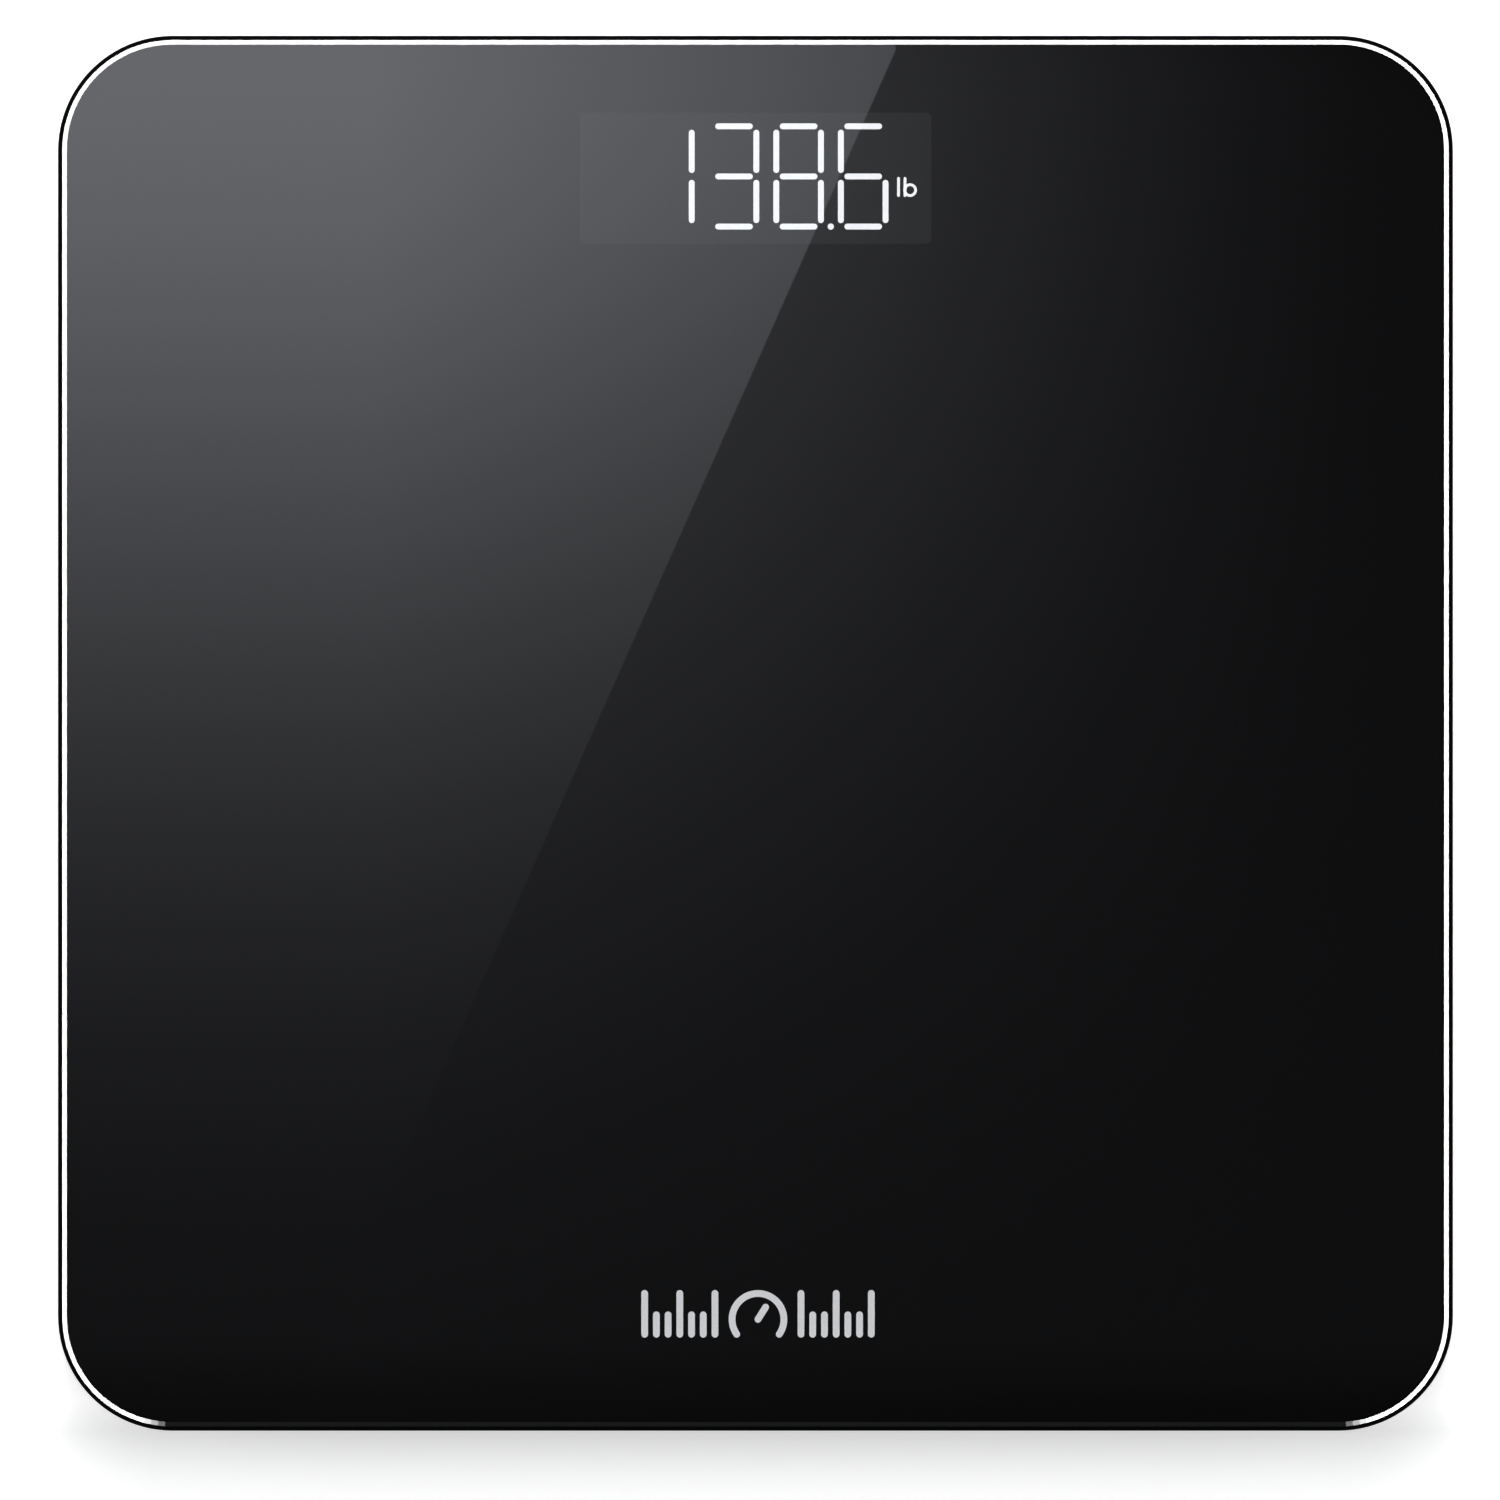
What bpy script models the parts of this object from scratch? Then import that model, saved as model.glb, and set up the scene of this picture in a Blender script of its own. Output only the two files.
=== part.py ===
"""A glass-topped digital bathroom scale, built as the separate pieces that it comes apart into.

Run with: blender --background --python part.py

Frame: +Z up, the origin under the middle of the platform on the floor, +Y towards the display.
The toughened glass is bonded to a moulded base. In each corner of the base a foot presses up
on the tongue of a stamped steel load cell, which a ring-shaped carrier holds under the glass.
"""

import math

import bmesh
import bpy
from mathutils import Matrix, Vector

MM = 0.001
GAP = 0.3 * MM  # kept between pieces that touch on the real object

# Driving dimensions
SIDE = 280 * MM
HEIGHT = 25 * MM
CORNER_RADIUS = 23 * MM
GLASS_THICKNESS = 6 * MM
FOOT_OFFSET = 102 * MM  # from the middle to each foot, along X and along Y

# Heights of the layers, from the floor up
BASE_BOTTOM = 3.8 * MM
WALL = 1.8 * MM
FLOOR_TOP = BASE_BOTTOM + WALL
GLASS_BOTTOM = HEIGHT - GLASS_THICKNESS
FILM_THICKNESS = 0.3 * MM
FILM_BOTTOM = GLASS_BOTTOM - GAP - FILM_THICKNESS
TAPE_THICKNESS = 0.5 * MM
TAPE_BOTTOM = FILM_BOTTOM - GAP - TAPE_THICKNESS
BASE_TOP = TAPE_BOTTOM - GAP

# Insets of the outlines from the edge of the glass
PRINT_INSET = 1.6 * MM
FLANGE_INSET = 3 * MM
BODY_INSET = 12 * MM
TAPE_INSET = 4.2 * MM
TAPE_WIDTH = 7 * MM
ARRIS = 0.7 * MM  # the ground lower edge of the glass
# (inset, depth below the top) of the polished upper edge of the glass, from the flat outwards
POLISHED_EDGE = [(1.64 * MM, 0), (0.72 * MM, 0.67 * MM), (0, 1.9 * MM)]

# Display
WINDOW_SIZE = Vector((70.8, 26.4)) * MM
WINDOW_Y = 111.6 * MM
DIGITS = 4
DIGIT_PITCH = 13.0 * MM
LAST_DIGIT_X = 21.65 * MM
DIGIT_SIZE = Vector((9.0, 20.0)) * MM  # between the centre lines of its bars
BAR_WIDTH = 1.35 * MM
BAR_GAP = 0.35 * MM

# Main board, under the window
BOARD_SIZE = Vector((86, 31)) * MM
BOARD_Y = 109.9 * MM
BOARD_BOTTOM = 10.5 * MM
BOARD_THICKNESS = 1.6 * MM
BOARD_TOP = BOARD_BOTTOM + BOARD_THICKNESS
SCREW_SPACING = Vector((78.8, 24)) * MM

# Battery bay: three AAA cells side by side, along X
CELL_RADIUS = 5.25 * MM
CELL_LENGTH = 44.5 * MM
CELL_PITCH = 11.2 * MM
BAY_Y = 48 * MM
BAY_INSIDE = Vector((52.8, 34.4)) * MM
BAY_WALL = 1.4 * MM
BAY_CEILING = 0.8 * MM
CELL_Z = BASE_BOTTOM + 7.15 * MM
DOOR_OPENING = Vector((49.2, 33.2)) * MM
DOOR_THICKNESS = 1.6 * MM
PLATE_X = 25.6 * MM  # inner face of the contact plates

# Unit button, under the main board
BUTTON_AT = Vector((28, 103)) * MM
BUTTON_RADIUS = 3.8 * MM
PLUNGER_RADIUS = 1.75 * MM

# Feet and load cells
FOOT_OPENING_RADIUS = 21.6 * MM
FOOT_RADIUS = 21 * MM
FLANGE_RADIUS = 23.1 * MM
TOWER_BORE = 23.5 * MM
TOWER_RADIUS = 25.3 * MM
LOAD_CELL_SIDE = 34 * MM
LOAD_CELL_BOTTOM = 10.6 * MM
LOAD_CELL_THICKNESS = 2.8 * MM
LOAD_CELL_TOP = LOAD_CELL_BOTTOM + LOAD_CELL_THICKNESS
CORNERS = {
    "front_left": (-1, -1),
    "front_right": (1, -1),
    "back_left": (-1, 1),
    "back_right": (1, 1),
}

# Colour, roughness and metallic value of each material
FINISHES = {
    "clear_glass": ((0.62, 0.72, 0.70), 0.04, 0.0),
    "black_print": ((0.012, 0.012, 0.013), 0.35, 0.0),
    "smoked_window": ((0.035, 0.036, 0.040), 0.20, 0.0),
    "white_tape": ((0.75, 0.75, 0.72), 0.70, 0.0),
    "black_abs": ((0.020, 0.020, 0.022), 0.55, 0.0),
    "white_plastic": ((0.82, 0.82, 0.80), 0.45, 0.0),
    "milky_film": ((0.90, 0.90, 0.92), 0.50, 0.0),
    "black_rubber": ((0.030, 0.030, 0.032), 0.85, 0.0),
    "stamped_steel": ((0.60, 0.60, 0.58), 0.35, 1.0),
    "white_silicone": ((0.86, 0.86, 0.84), 0.55, 0.0),
    "nickel": ((0.70, 0.69, 0.66), 0.25, 1.0),
    "cell_jacket": ((0.10, 0.25, 0.20), 0.35, 0.0),
    "board_green": ((0.02, 0.16, 0.08), 0.45, 0.0),
    "chip_black": ((0.03, 0.03, 0.032), 0.50, 0.0),
    "wire_white": ((0.80, 0.80, 0.78), 0.50, 0.0),
    "wire_red": ((0.60, 0.03, 0.03), 0.45, 0.0),
    "wire_black": ((0.03, 0.03, 0.03), 0.45, 0.0),
    "label_silver": ((0.55, 0.56, 0.58), 0.40, 0.0),
}


# ---- Scene and collections


def clear_scene():
    for obj in list(bpy.data.objects):
        bpy.data.objects.remove(obj)


def new_collection(name):
    collection = bpy.data.collections.new(name)
    bpy.context.scene.collection.children.link(collection)
    return collection


def finish_material(name):
    if name in bpy.data.materials:
        return bpy.data.materials[name]
    colour, roughness, metallic = FINISHES[name]
    material = bpy.data.materials.new(name)
    material.use_nodes = True
    shader = material.node_tree.nodes["Principled BSDF"]
    shader.inputs["Base Color"].default_value = (*colour, 1)
    shader.inputs["Roughness"].default_value = roughness
    shader.inputs["Metallic"].default_value = metallic
    material.diffuse_color = (*colour, 1)
    return material


def keep(obj, finish, smooth=False):
    """Makes obj a piece of the scale, with its finish."""
    PARTS.objects.link(obj)
    obj.data.materials.append(finish_material(finish))
    if smooth:
        obj.data.shade_smooth()
        obj.data.set_sharp_from_angle(angle=math.radians(35))
    return obj


def helper(obj, collection=None):
    """Keeps obj out of the model, as the tool of a Boolean."""
    (collection or CUTTERS).objects.link(obj)
    obj.hide_render = True
    obj.display_type = "WIRE"
    return obj


# ---- Shapes


def mesh_object(name, bm):
    bmesh.ops.recalc_face_normals(bm, faces=bm.faces)
    mesh = bpy.data.meshes.new(name)
    bm.to_mesh(mesh)
    bm.free()
    return bpy.data.objects.new(name, mesh)


def box(name, low, high):
    low, high = Vector(low), Vector(high)
    bm = bmesh.new()
    place = Matrix.Translation((low + high) / 2) @ Matrix.Diagonal((*(high - low), 1))
    bmesh.ops.create_cube(bm, size=1, matrix=place)
    return mesh_object(name, bm)


def cylinder(name, radius, low, high, at=(0, 0), steps=32):
    bm = bmesh.new()
    bmesh.ops.create_cone(
        bm,
        cap_ends=True,
        segments=steps,
        radius1=radius,
        radius2=radius,
        depth=high - low,
        matrix=Matrix.Translation((at[0], at[1], (low + high) / 2)),
    )
    return mesh_object(name, bm)


def turned(name, profile, steps):
    """A solid of revolution about Z. The profile runs from the axis at the top, down its outer
    side, to the axis at the bottom."""
    mesh = bpy.data.meshes.new(name)
    points = [(r, 0, z) for r, z in profile]
    mesh.from_pydata(points, [(i, i + 1) for i in range(len(points) - 1)], [])
    obj = bpy.data.objects.new(name, mesh)
    screw = obj.modifiers.new("Turn", "SCREW")
    screw.steps = screw.render_steps = steps
    screw.use_merge_vertices = True
    screw.merge_threshold = 0.01 * MM
    screw.use_smooth_shade = True
    return obj


def rounded_rectangle(size, radius, steps=8, centre=(0, 0)):
    """Points of a rectangle whose corners are arcs, anticlockwise."""
    points = []
    for quarter, (sx, sy) in enumerate(((1, 1), (-1, 1), (-1, -1), (1, -1))):
        x = centre[0] + sx * (size[0] / 2 - radius)
        y = centre[1] + sy * (size[1] / 2 - radius)
        for step in range(steps + 1):
            angle = (quarter + step / steps) * math.pi / 2
            points.append((x + radius * math.cos(angle), y + radius * math.sin(angle)))
    return points


def platform_outline(inset, steps=8):
    """The outline of the glass, moved in by inset."""
    side = SIDE - 2 * inset
    return rounded_rectangle((side, side), CORNER_RADIUS - inset, steps)


def circle(radius, centre, steps=16):
    turn = [2 * math.pi * i / steps for i in range(steps)]
    return [(centre[0] + radius * math.cos(a), centre[1] + radius * math.sin(a)) for a in turn]


def plate(name, outlines, low, high):
    """A flat plate between two heights. The outlines after the first are holes in it."""
    curve = bpy.data.curves.new(name, "CURVE")
    curve.dimensions = "2D"
    curve.fill_mode = "BOTH"
    curve.extrude = (high - low) / 2
    for outline in outlines:
        spline = curve.splines.new("POLY")
        spline.points.add(len(outline) - 1)
        for point, (x, y) in zip(spline.points, outline):
            point.co = (x, y, 0, 1)
        spline.use_cyclic_u = True
    obj = bpy.data.objects.new(name, curve)
    obj.location.z = (low + high) / 2
    return obj


def lofted(name, levels, steps, top=True):
    """A skin through platform outlines, each an (inset, height), from the top down. It is
    closed at the bottom, and at the top unless top is False."""
    bm = bmesh.new()
    rings = [
        [bm.verts.new((x, y, z)) for x, y in platform_outline(inset, steps)]
        for inset, z in levels
    ]
    for upper, lower in zip(rings, rings[1:]):
        for i, corner in enumerate(upper):
            bm.faces.new((upper[i - 1], corner, lower[i], lower[i - 1]))
    bm.faces.new(rings[-1])
    if top:
        bm.faces.new(rings[0])
    return mesh_object(name, bm)


def baked(obj):
    """obj with its curve or modifiers turned into a mesh, and its doubled points joined."""
    bpy.context.scene.collection.objects.link(obj)
    bpy.context.view_layer.update()
    evaluated = obj.evaluated_get(bpy.context.evaluated_depsgraph_get())
    mesh = bpy.data.meshes.new_from_object(evaluated)
    bm = bmesh.new()
    bm.from_mesh(mesh)
    bmesh.ops.remove_doubles(bm, verts=bm.verts, dist=0.001 * MM)
    bm.to_mesh(mesh)
    bm.free()
    mesh.transform(obj.matrix_world)
    name = obj.name
    bpy.data.objects.remove(obj)
    return bpy.data.objects.new(name, mesh)


def tube(name, points, radius, smooth_by=0):
    """A wire along the points. smooth_by is how many points are put in between each two of
    them, on a smooth curve through them all."""
    if smooth_by:
        points = smooth_route(points, smooth_by)
    curve = bpy.data.curves.new(name, "CURVE")
    curve.dimensions = "3D"
    curve.bevel_depth = radius
    curve.bevel_resolution = 1 if radius < 0.5 * MM else 2
    curve.use_fill_caps = True
    spline = curve.splines.new("POLY")
    spline.points.add(len(points) - 1)
    for point, place in zip(spline.points, points):
        point.co = (*place, 1)
    return bpy.data.objects.new(name, curve)


def smooth_route(points, between):
    """Points on a Catmull-Rom curve through the given ones."""
    p = [Vector(q) for q in points]
    p = [2 * p[0] - p[1], *p, 2 * p[-1] - p[-2]]
    route = []
    for a, b, c, d in zip(p, p[1:], p[2:], p[3:]):
        for step in range(between + 1):
            t = step / (between + 1)
            route.append(
                0.5 * (2 * b + (c - a) * t + (2 * a - 5 * b + 4 * c - d) * t**2)
                + 0.5 * (3 * b - a - 3 * c + d) * t**3
            )
    return [*route, p[-2]]


def boolean(obj, operation, tool):
    """Joins tool to obj or cuts it away. tool is an object or a collection of them."""
    modifier = obj.modifiers.new(operation.title(), "BOOLEAN")
    modifier.operation = operation
    modifier.solver = "EXACT"
    if isinstance(tool, bpy.types.Collection):
        modifier.operand_type = "COLLECTION"
        modifier.collection = tool
    else:
        modifier.object = tool
    return obj


def soften(obj, width, segments=2, angle=40):
    """Rounds the edges sharper than angle."""
    bevel = obj.modifiers.new("Bevel", "BEVEL")
    bevel.width = width
    bevel.segments = segments
    bevel.limit_method = "ANGLE"
    bevel.angle_limit = math.radians(angle)
    return obj


# ---- Glass, print and tape


def glass_platform():
    levels = [(inset, HEIGHT - depth) for inset, depth in POLISHED_EDGE]
    levels += [(0, GLASS_BOTTOM + ARRIS), (ARRIS, GLASS_BOTTOM)]
    keep(lofted("glass_platform", levels, 8), "clear_glass")


def window_outline(grow=0.0):
    size = (WINDOW_SIZE.x + 2 * grow, WINDOW_SIZE.y + 2 * grow)
    return rounded_rectangle(size, 1 * MM + grow, 3, (0, WINDOW_Y))


def print_and_window():
    outlines = [platform_outline(PRINT_INSET), window_outline()]
    film = plate("printed_film", outlines, FILM_BOTTOM, FILM_BOTTOM + FILM_THICKNESS)
    keep(film, "black_print")
    window = plate(
        "display_window", [window_outline(-GAP)], FILM_BOTTOM, FILM_BOTTOM + FILM_THICKNESS
    )
    keep(window, "smoked_window")


def bonding_tape():
    outlines = [platform_outline(TAPE_INSET), platform_outline(TAPE_INSET + TAPE_WIDTH, 6)]
    tape = plate("bonding_tape", outlines, TAPE_BOTTOM, TAPE_BOTTOM + TAPE_THICKNESS)
    keep(tape, "white_tape")


# ---- Moulded base


def base_skin():
    """The outer surface of the base: a flange under the glass, a wall and the bottom. It is
    open at the top, and Solidify gives it its wall inwards."""
    round_bottom = 3 * MM
    levels = [(FLANGE_INSET, BASE_TOP - WALL), (BODY_INSET, BASE_TOP - WALL)]
    for step in range(4):
        angle = step * math.pi / 6
        inset = BODY_INSET + round_bottom * (1 - math.cos(angle))
        levels.append((inset, BASE_BOTTOM + round_bottom * (1 - math.sin(angle))))
    obj = lofted("base_housing", levels, 6, top=False)
    shell = obj.modifiers.new("Wall", "SOLIDIFY")
    shell.thickness = WALL
    shell.offset = -1 if bottom_faces_down(obj) else 1
    shell.use_even_offset = True
    return obj


def bottom_faces_down(obj):
    lowest = min(obj.data.polygons, key=lambda face: face.center.z)
    return lowest.normal.z < 0


def rib_lines():
    """(low corner, high corner) in plan of each stiffening rib. The strips at x = 60 mm on
    either side stay clear for the leads."""
    half = 0.7 * MM
    reach = SIDE / 2 - BODY_INSET - 1 * MM
    inner, corridor_in, corridor_out = 54 * MM, 54 * MM, 67 * MM
    lines = []
    for y in (-112, -76, -4):
        lines.append(((-inner, y * MM - half), (inner, y * MM + half)))
    for x in (-36, 36):
        lines.append(((x * MM - half, -reach), (x * MM + half, 20 * MM)))
    for side in (-1, 1):
        for y in (-60, -20, 20, 60):
            ends = sorted((side * corridor_out, side * reach))
            lines.append(((ends[0], y * MM - half), (ends[1], y * MM + half)))
        x = side * 82 * MM
        lines.append(((x - half, -70 * MM), (x + half, 70 * MM)))
        x = side * corridor_in
        lines.append(((x - half, -112 * MM - half), (x + half, 76 * MM)))
    return lines


def housing_additions():
    """What stands on the floor of the base: ribs, foot towers, battery bay and board posts."""
    added = new_collection("housing_additions")
    root = FLOOR_TOP - 0.8 * MM
    rib_top = BASE_TOP - GAP
    for low, high in rib_lines():
        helper(box("rib", (*low, root), (*high, rib_top)), added)
    for sx, sy in CORNERS.values():
        at = (sx * FOOT_OFFSET, sy * FOOT_OFFSET)
        helper(cylinder("tower", TOWER_RADIUS, root, BASE_TOP, at, 40), added)
    half = BAY_INSIDE / 2 + Vector((BAY_WALL, BAY_WALL))
    low = (-half.x, BAY_Y - half.y, root)
    helper(box("bay", low, (half.x, BAY_Y + half.y, BASE_TOP)), added)
    for at in screw_places():
        post = cylinder("post", 3.2 * MM, root, BOARD_BOTTOM - GAP, at, 16)
        helper(post, added)
    return added


def housing_cuts():
    """What is cut from the base: foot bores, battery bay, door and latch openings, button
    hole, label recess and the ways for leads, door tabs and solder tabs."""
    cuts = new_collection("housing_cuts")
    below, above = BASE_BOTTOM - 1 * MM, BASE_TOP + 1 * MM
    for name, (sx, sy) in CORNERS.items():
        at = Vector((sx, sy)) * FOOT_OFFSET
        helper(cylinder("foot_opening", FOOT_OPENING_RADIUS, below, above, at, 40), cuts)
        helper(cylinder("foot_bore", TOWER_BORE, FLOOR_TOP, above, at, 40), cuts)
        ends = sorted((at.x - sx * 20 * MM, at.x - sx * 28 * MM))
        low = (ends[0], at.y - 5 * MM, 9 * MM)
        helper(box("lead_way", low, (ends[1], at.y + 5 * MM, above)), cuts)
    half = BAY_INSIDE / 2
    bay_top = BASE_TOP - BAY_CEILING
    low = (-half.x, BAY_Y - half.y, FLOOR_TOP)
    helper(box("bay_inside", low, (half.x, BAY_Y + half.y, bay_top)), cuts)
    half = DOOR_OPENING / 2
    low = (-half.x, BAY_Y - half.y, below)
    helper(box("door_opening", low, (half.x, BAY_Y + half.y, 9 * MM)), cuts)
    latch_end = BAY_Y - half.y - 4.4 * MM
    low = (-5.4 * MM, latch_end, below)
    helper(box("latch_opening", low, (5.4 * MM, BAY_Y - half.y + 1 * MM, 11.4 * MM)), cuts)
    wall_out = BAY_Y + BAY_INSIDE.y / 2 + BAY_WALL + 1 * MM
    for x in (-15, 15):
        low = ((x - 4.4) * MM, BAY_Y + half.y - 1 * MM, FLOOR_TOP)
        helper(box("tab_way", low, ((x + 4.4) * MM, wall_out, 9.2 * MM)), cuts)
    for sx, row in ((1, 1), (-1, -1)):
        y = BAY_Y + row * CELL_PITCH
        ends = sorted((sx * 25 * MM, sx * 29 * MM))
        low = (ends[0], y - 2 * MM, 13.6 * MM)
        helper(box("solder_tab_way", low, (ends[1], y + 2 * MM, 14.9 * MM)), cuts)
    button = cylinder("button_hole", BUTTON_RADIUS + GAP, below, 9 * MM, BUTTON_AT, 24)
    helper(button, cuts)
    for at in screw_places():
        helper(cylinder("pilot_hole", 1.2 * MM, FLOOR_TOP, 12 * MM, at, 12), cuts)
    low = (-32.5 * MM, -47.5 * MM, below)
    helper(box("label_recess", low, (32.5 * MM, -12.5 * MM, BASE_BOTTOM + 0.5 * MM)), cuts)
    return cuts


def base_housing():
    base = base_skin()
    boolean(base, "UNION", housing_additions())
    boolean(base, "DIFFERENCE", housing_cuts())
    keep(base, "black_abs")


def rating_label():
    outline = rounded_rectangle((64 * MM, 34 * MM), 1.5 * MM, 3, (0, -30 * MM))
    low = BASE_BOTTOM + 0.05 * MM
    keep(plate("rating_label", [outline], low, low + 0.15 * MM), "label_silver")


# ---- Feet and load cells


def foot_cup_profile():
    return [
        (0, 12.4 * MM),
        (1.8 * MM, 12.4 * MM),
        (1.8 * MM, LOAD_CELL_BOTTOM - GAP),
        (6.2 * MM, LOAD_CELL_BOTTOM - GAP),
        (7.6 * MM, 4.3 * MM),
        (19.2 * MM, 4.3 * MM),
        (19.6 * MM, 7.1 * MM),
        (FLANGE_RADIUS, 7.1 * MM),
        (FLANGE_RADIUS, FLOOR_TOP + GAP),
        (FOOT_RADIUS, FLOOR_TOP + GAP),
        (FOOT_RADIUS, 1.9 * MM),
        (20.1 * MM, 1.0 * MM),
        (18.8 * MM, 1.0 * MM),
        (18.8 * MM, 2.5 * MM),
        (0, 2.5 * MM),
    ]


def foot_pad_profile():
    return [
        (0, 2.2 * MM),
        (18.5 * MM, 2.2 * MM),
        (18.5 * MM, 0.5 * MM),
        (17.9 * MM, 0),
        (0, 0),
    ]


def load_cell():
    """The stamped plate: a square frame with a U-shaped slot that frees the middle tongue."""
    side = LOAD_CELL_SIDE
    slot = [(6, 9), (-11.5, 9), (-11.5, -9), (6, -9), (6, -7.5), (-10, -7.5), (-10, 7.5), (6, 7.5)]
    outlines = [
        rounded_rectangle((side, side), 4 * MM, 4),
        [(x * MM, y * MM) for x, y in slot],
        circle(2.2 * MM, (0, 0)),
    ]
    return plate("load_cell", outlines, LOAD_CELL_BOTTOM, LOAD_CELL_TOP)


def gauge_seal():
    """The silicone over the strain gauges, on the neck of the tongue."""
    low = (7.6 * MM, -5 * MM, LOAD_CELL_TOP + GAP)
    seal = box("gauge_seal", low, (14.6 * MM, 5 * MM, LOAD_CELL_TOP + GAP + 1.1 * MM))
    return soften(seal, 0.45 * MM, segments=2)


def cell_carrier():
    """The ring between glass and load cell, with lobes that locate the square plate."""
    above, below = BASE_TOP + 1 * MM, LOAD_CELL_BOTTOM - 1 * MM
    ring = cylinder("cell_carrier", TOWER_BORE - GAP, LOAD_CELL_BOTTOM, BASE_TOP, steps=40)
    pocket_side = LOAD_CELL_SIDE + 2 * GAP
    pocket = rounded_rectangle((pocket_side, pocket_side), 4 * MM + GAP, 4)
    pocket_top = LOAD_CELL_TOP + GAP
    boolean(ring, "DIFFERENCE", helper(baked(plate("pocket", [pocket], below, pocket_top))))
    boolean(ring, "DIFFERENCE", helper(cylinder("bore", 11.5 * MM, below, above, steps=28)))
    way = box("way", (7 * MM, -6.2 * MM, below), (25 * MM, 6.2 * MM, above))
    return boolean(ring, "DIFFERENCE", helper(way))


def foot_modules():
    """One of each piece, turned and copied to every corner. The leads leave towards the
    middle, so the pieces on the right are turned by half a turn."""
    pieces = [
        (turned("foot_cup", foot_cup_profile(), 28), "black_abs", True),
        (turned("foot_pad", foot_pad_profile(), 28), "black_rubber", True),
        (load_cell(), "stamped_steel", False),
        (gauge_seal(), "white_silicone", False),
        (cell_carrier(), "white_plastic", False),
    ]
    for first, finish, smooth in pieces:
        kind, mesh = first.name, baked(first).data
        for corner, (sx, sy) in CORNERS.items():
            piece = bpy.data.objects.new(f"{kind}_{corner}", mesh.copy())
            piece.location = (sx * FOOT_OFFSET, sy * FOOT_OFFSET, 0)
            piece.rotation_euler.z = math.pi if sx > 0 else 0
            keep(piece, finish, smooth)


def sensor_leads():
    """The three-core lead of each load cell, from the gauges over the floor to the board."""
    for corner, (sx, sy) in CORNERS.items():
        x, y = FOOT_OFFSET, sy * FOOT_OFFSET / MM
        board_y = 114 if sy > 0 else 104.5
        route = [(x / MM - 15.6, y, 15.2), (x / MM - 21, y, 15.2), (x / MM - 28.5, y, 12.5)]
        if sy > 0:
            route += [(66, 104, 8.4), (60, 108, 7.4), (53, 112, 9.5)]
        else:
            route += [(65, -97, 7.6), (60, -88, 7.1), (60, -55, 7.1), (60.5, -15, 7.1)]
            route += [(60, 25, 7.1), (60, 65, 7.1), (59.5, 90, 7.2), (53, 101, 9.2)]
        route += [(45.5, board_y, 13.4), (42, board_y, 14.0), (38.5, board_y, 13.8)]
        points = [Vector((sx * px, py, pz)) * MM for px, py, pz in route]
        keep(tube(f"sensor_lead_{corner}", points, 1.1 * MM, smooth_by=1), "wire_white")


# ---- Batteries and their contacts


def battery_profile():
    """Along Z, with the positive nub at the top and the middle at the origin."""
    half, nub = CELL_LENGTH / 2, 1.1 * MM
    return [
        (0, half),
        (1.8 * MM, half),
        (1.9 * MM, half - nub),
        (4.4 * MM, half - nub),
        (CELL_RADIUS, half - nub - 0.7 * MM),
        (CELL_RADIUS, -half + 0.6 * MM),
        (4.6 * MM, -half),
        (0, -half),
    ]


def spring_points(sx):
    """A cone of wire from the plate at side sx to the negative end of the cell."""
    turns, steps = 3.2, 10
    start, end = PLATE_X - GAP - 0.35 * MM, PLATE_X - GAP - 4.95 * MM
    points = []
    for i in range(int(turns * steps) + 1):
        t = i / (turns * steps)
        radius = (3.6 - 1.3 * t) * MM
        angle = 2 * math.pi * turns * t
        along = sx * (start + (end - start) * t)
        points.append(Vector((along, radius * math.cos(angle), radius * math.sin(angle))))
    return points


def batteries():
    """Three cells in series, so the middle one lies the other way round."""
    for number, row in enumerate((1, 0, -1), 1):
        positive = -1 if row == 0 else 1
        y = BAY_Y + row * CELL_PITCH
        plate_to_nub = 0.8 * MM
        middle = positive * (PLATE_X - plate_to_nub - CELL_LENGTH / 2)
        cell = keep(turned(f"battery_{number}", battery_profile(), 24), "cell_jacket")
        cell.location = (middle, y, CELL_Z)
        cell.rotation_euler.y = positive * math.pi / 2
        points = spring_points(-positive)
        spring = keep(tube(f"battery_spring_{number}", points, 0.35 * MM), "nickel")
        spring.location = (0, y, CELL_Z)


def contact_plates():
    """Two bridges and two end terminals. A terminal has a tab through the wall for its lead."""
    low_z, high_z, thickness, half = 7.0 * MM, 15.4 * MM, 0.5 * MM, 4.4 * MM
    spans = (
        ("contact_positive", 1, 1, 1),
        ("contact_bridge_left", -1, 0, 1),
        ("contact_bridge_right", 1, -1, 0),
        ("contact_negative", -1, -1, -1),
    )
    for name, sx, first_row, last_row in spans:
        ends = sorted((sx * PLATE_X, sx * (PLATE_X + thickness)))
        low_y = BAY_Y + first_row * CELL_PITCH - half
        high_y = BAY_Y + last_row * CELL_PITCH + half
        contact = box(name, (ends[0], low_y, low_z), (ends[1], high_y, high_z))
        if first_row == last_row:
            ends = sorted((sx * (PLATE_X + 0.1 * MM), sx * 30.4 * MM))
            low = (ends[0], (low_y + high_y) / 2 - 1.5 * MM, 14.0 * MM)
            tab = box("tab", low, (ends[1], (low_y + high_y) / 2 + 1.5 * MM, 14.5 * MM))
            boolean(contact, "UNION", helper(tab))
        keep(contact, "nickel")


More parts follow.
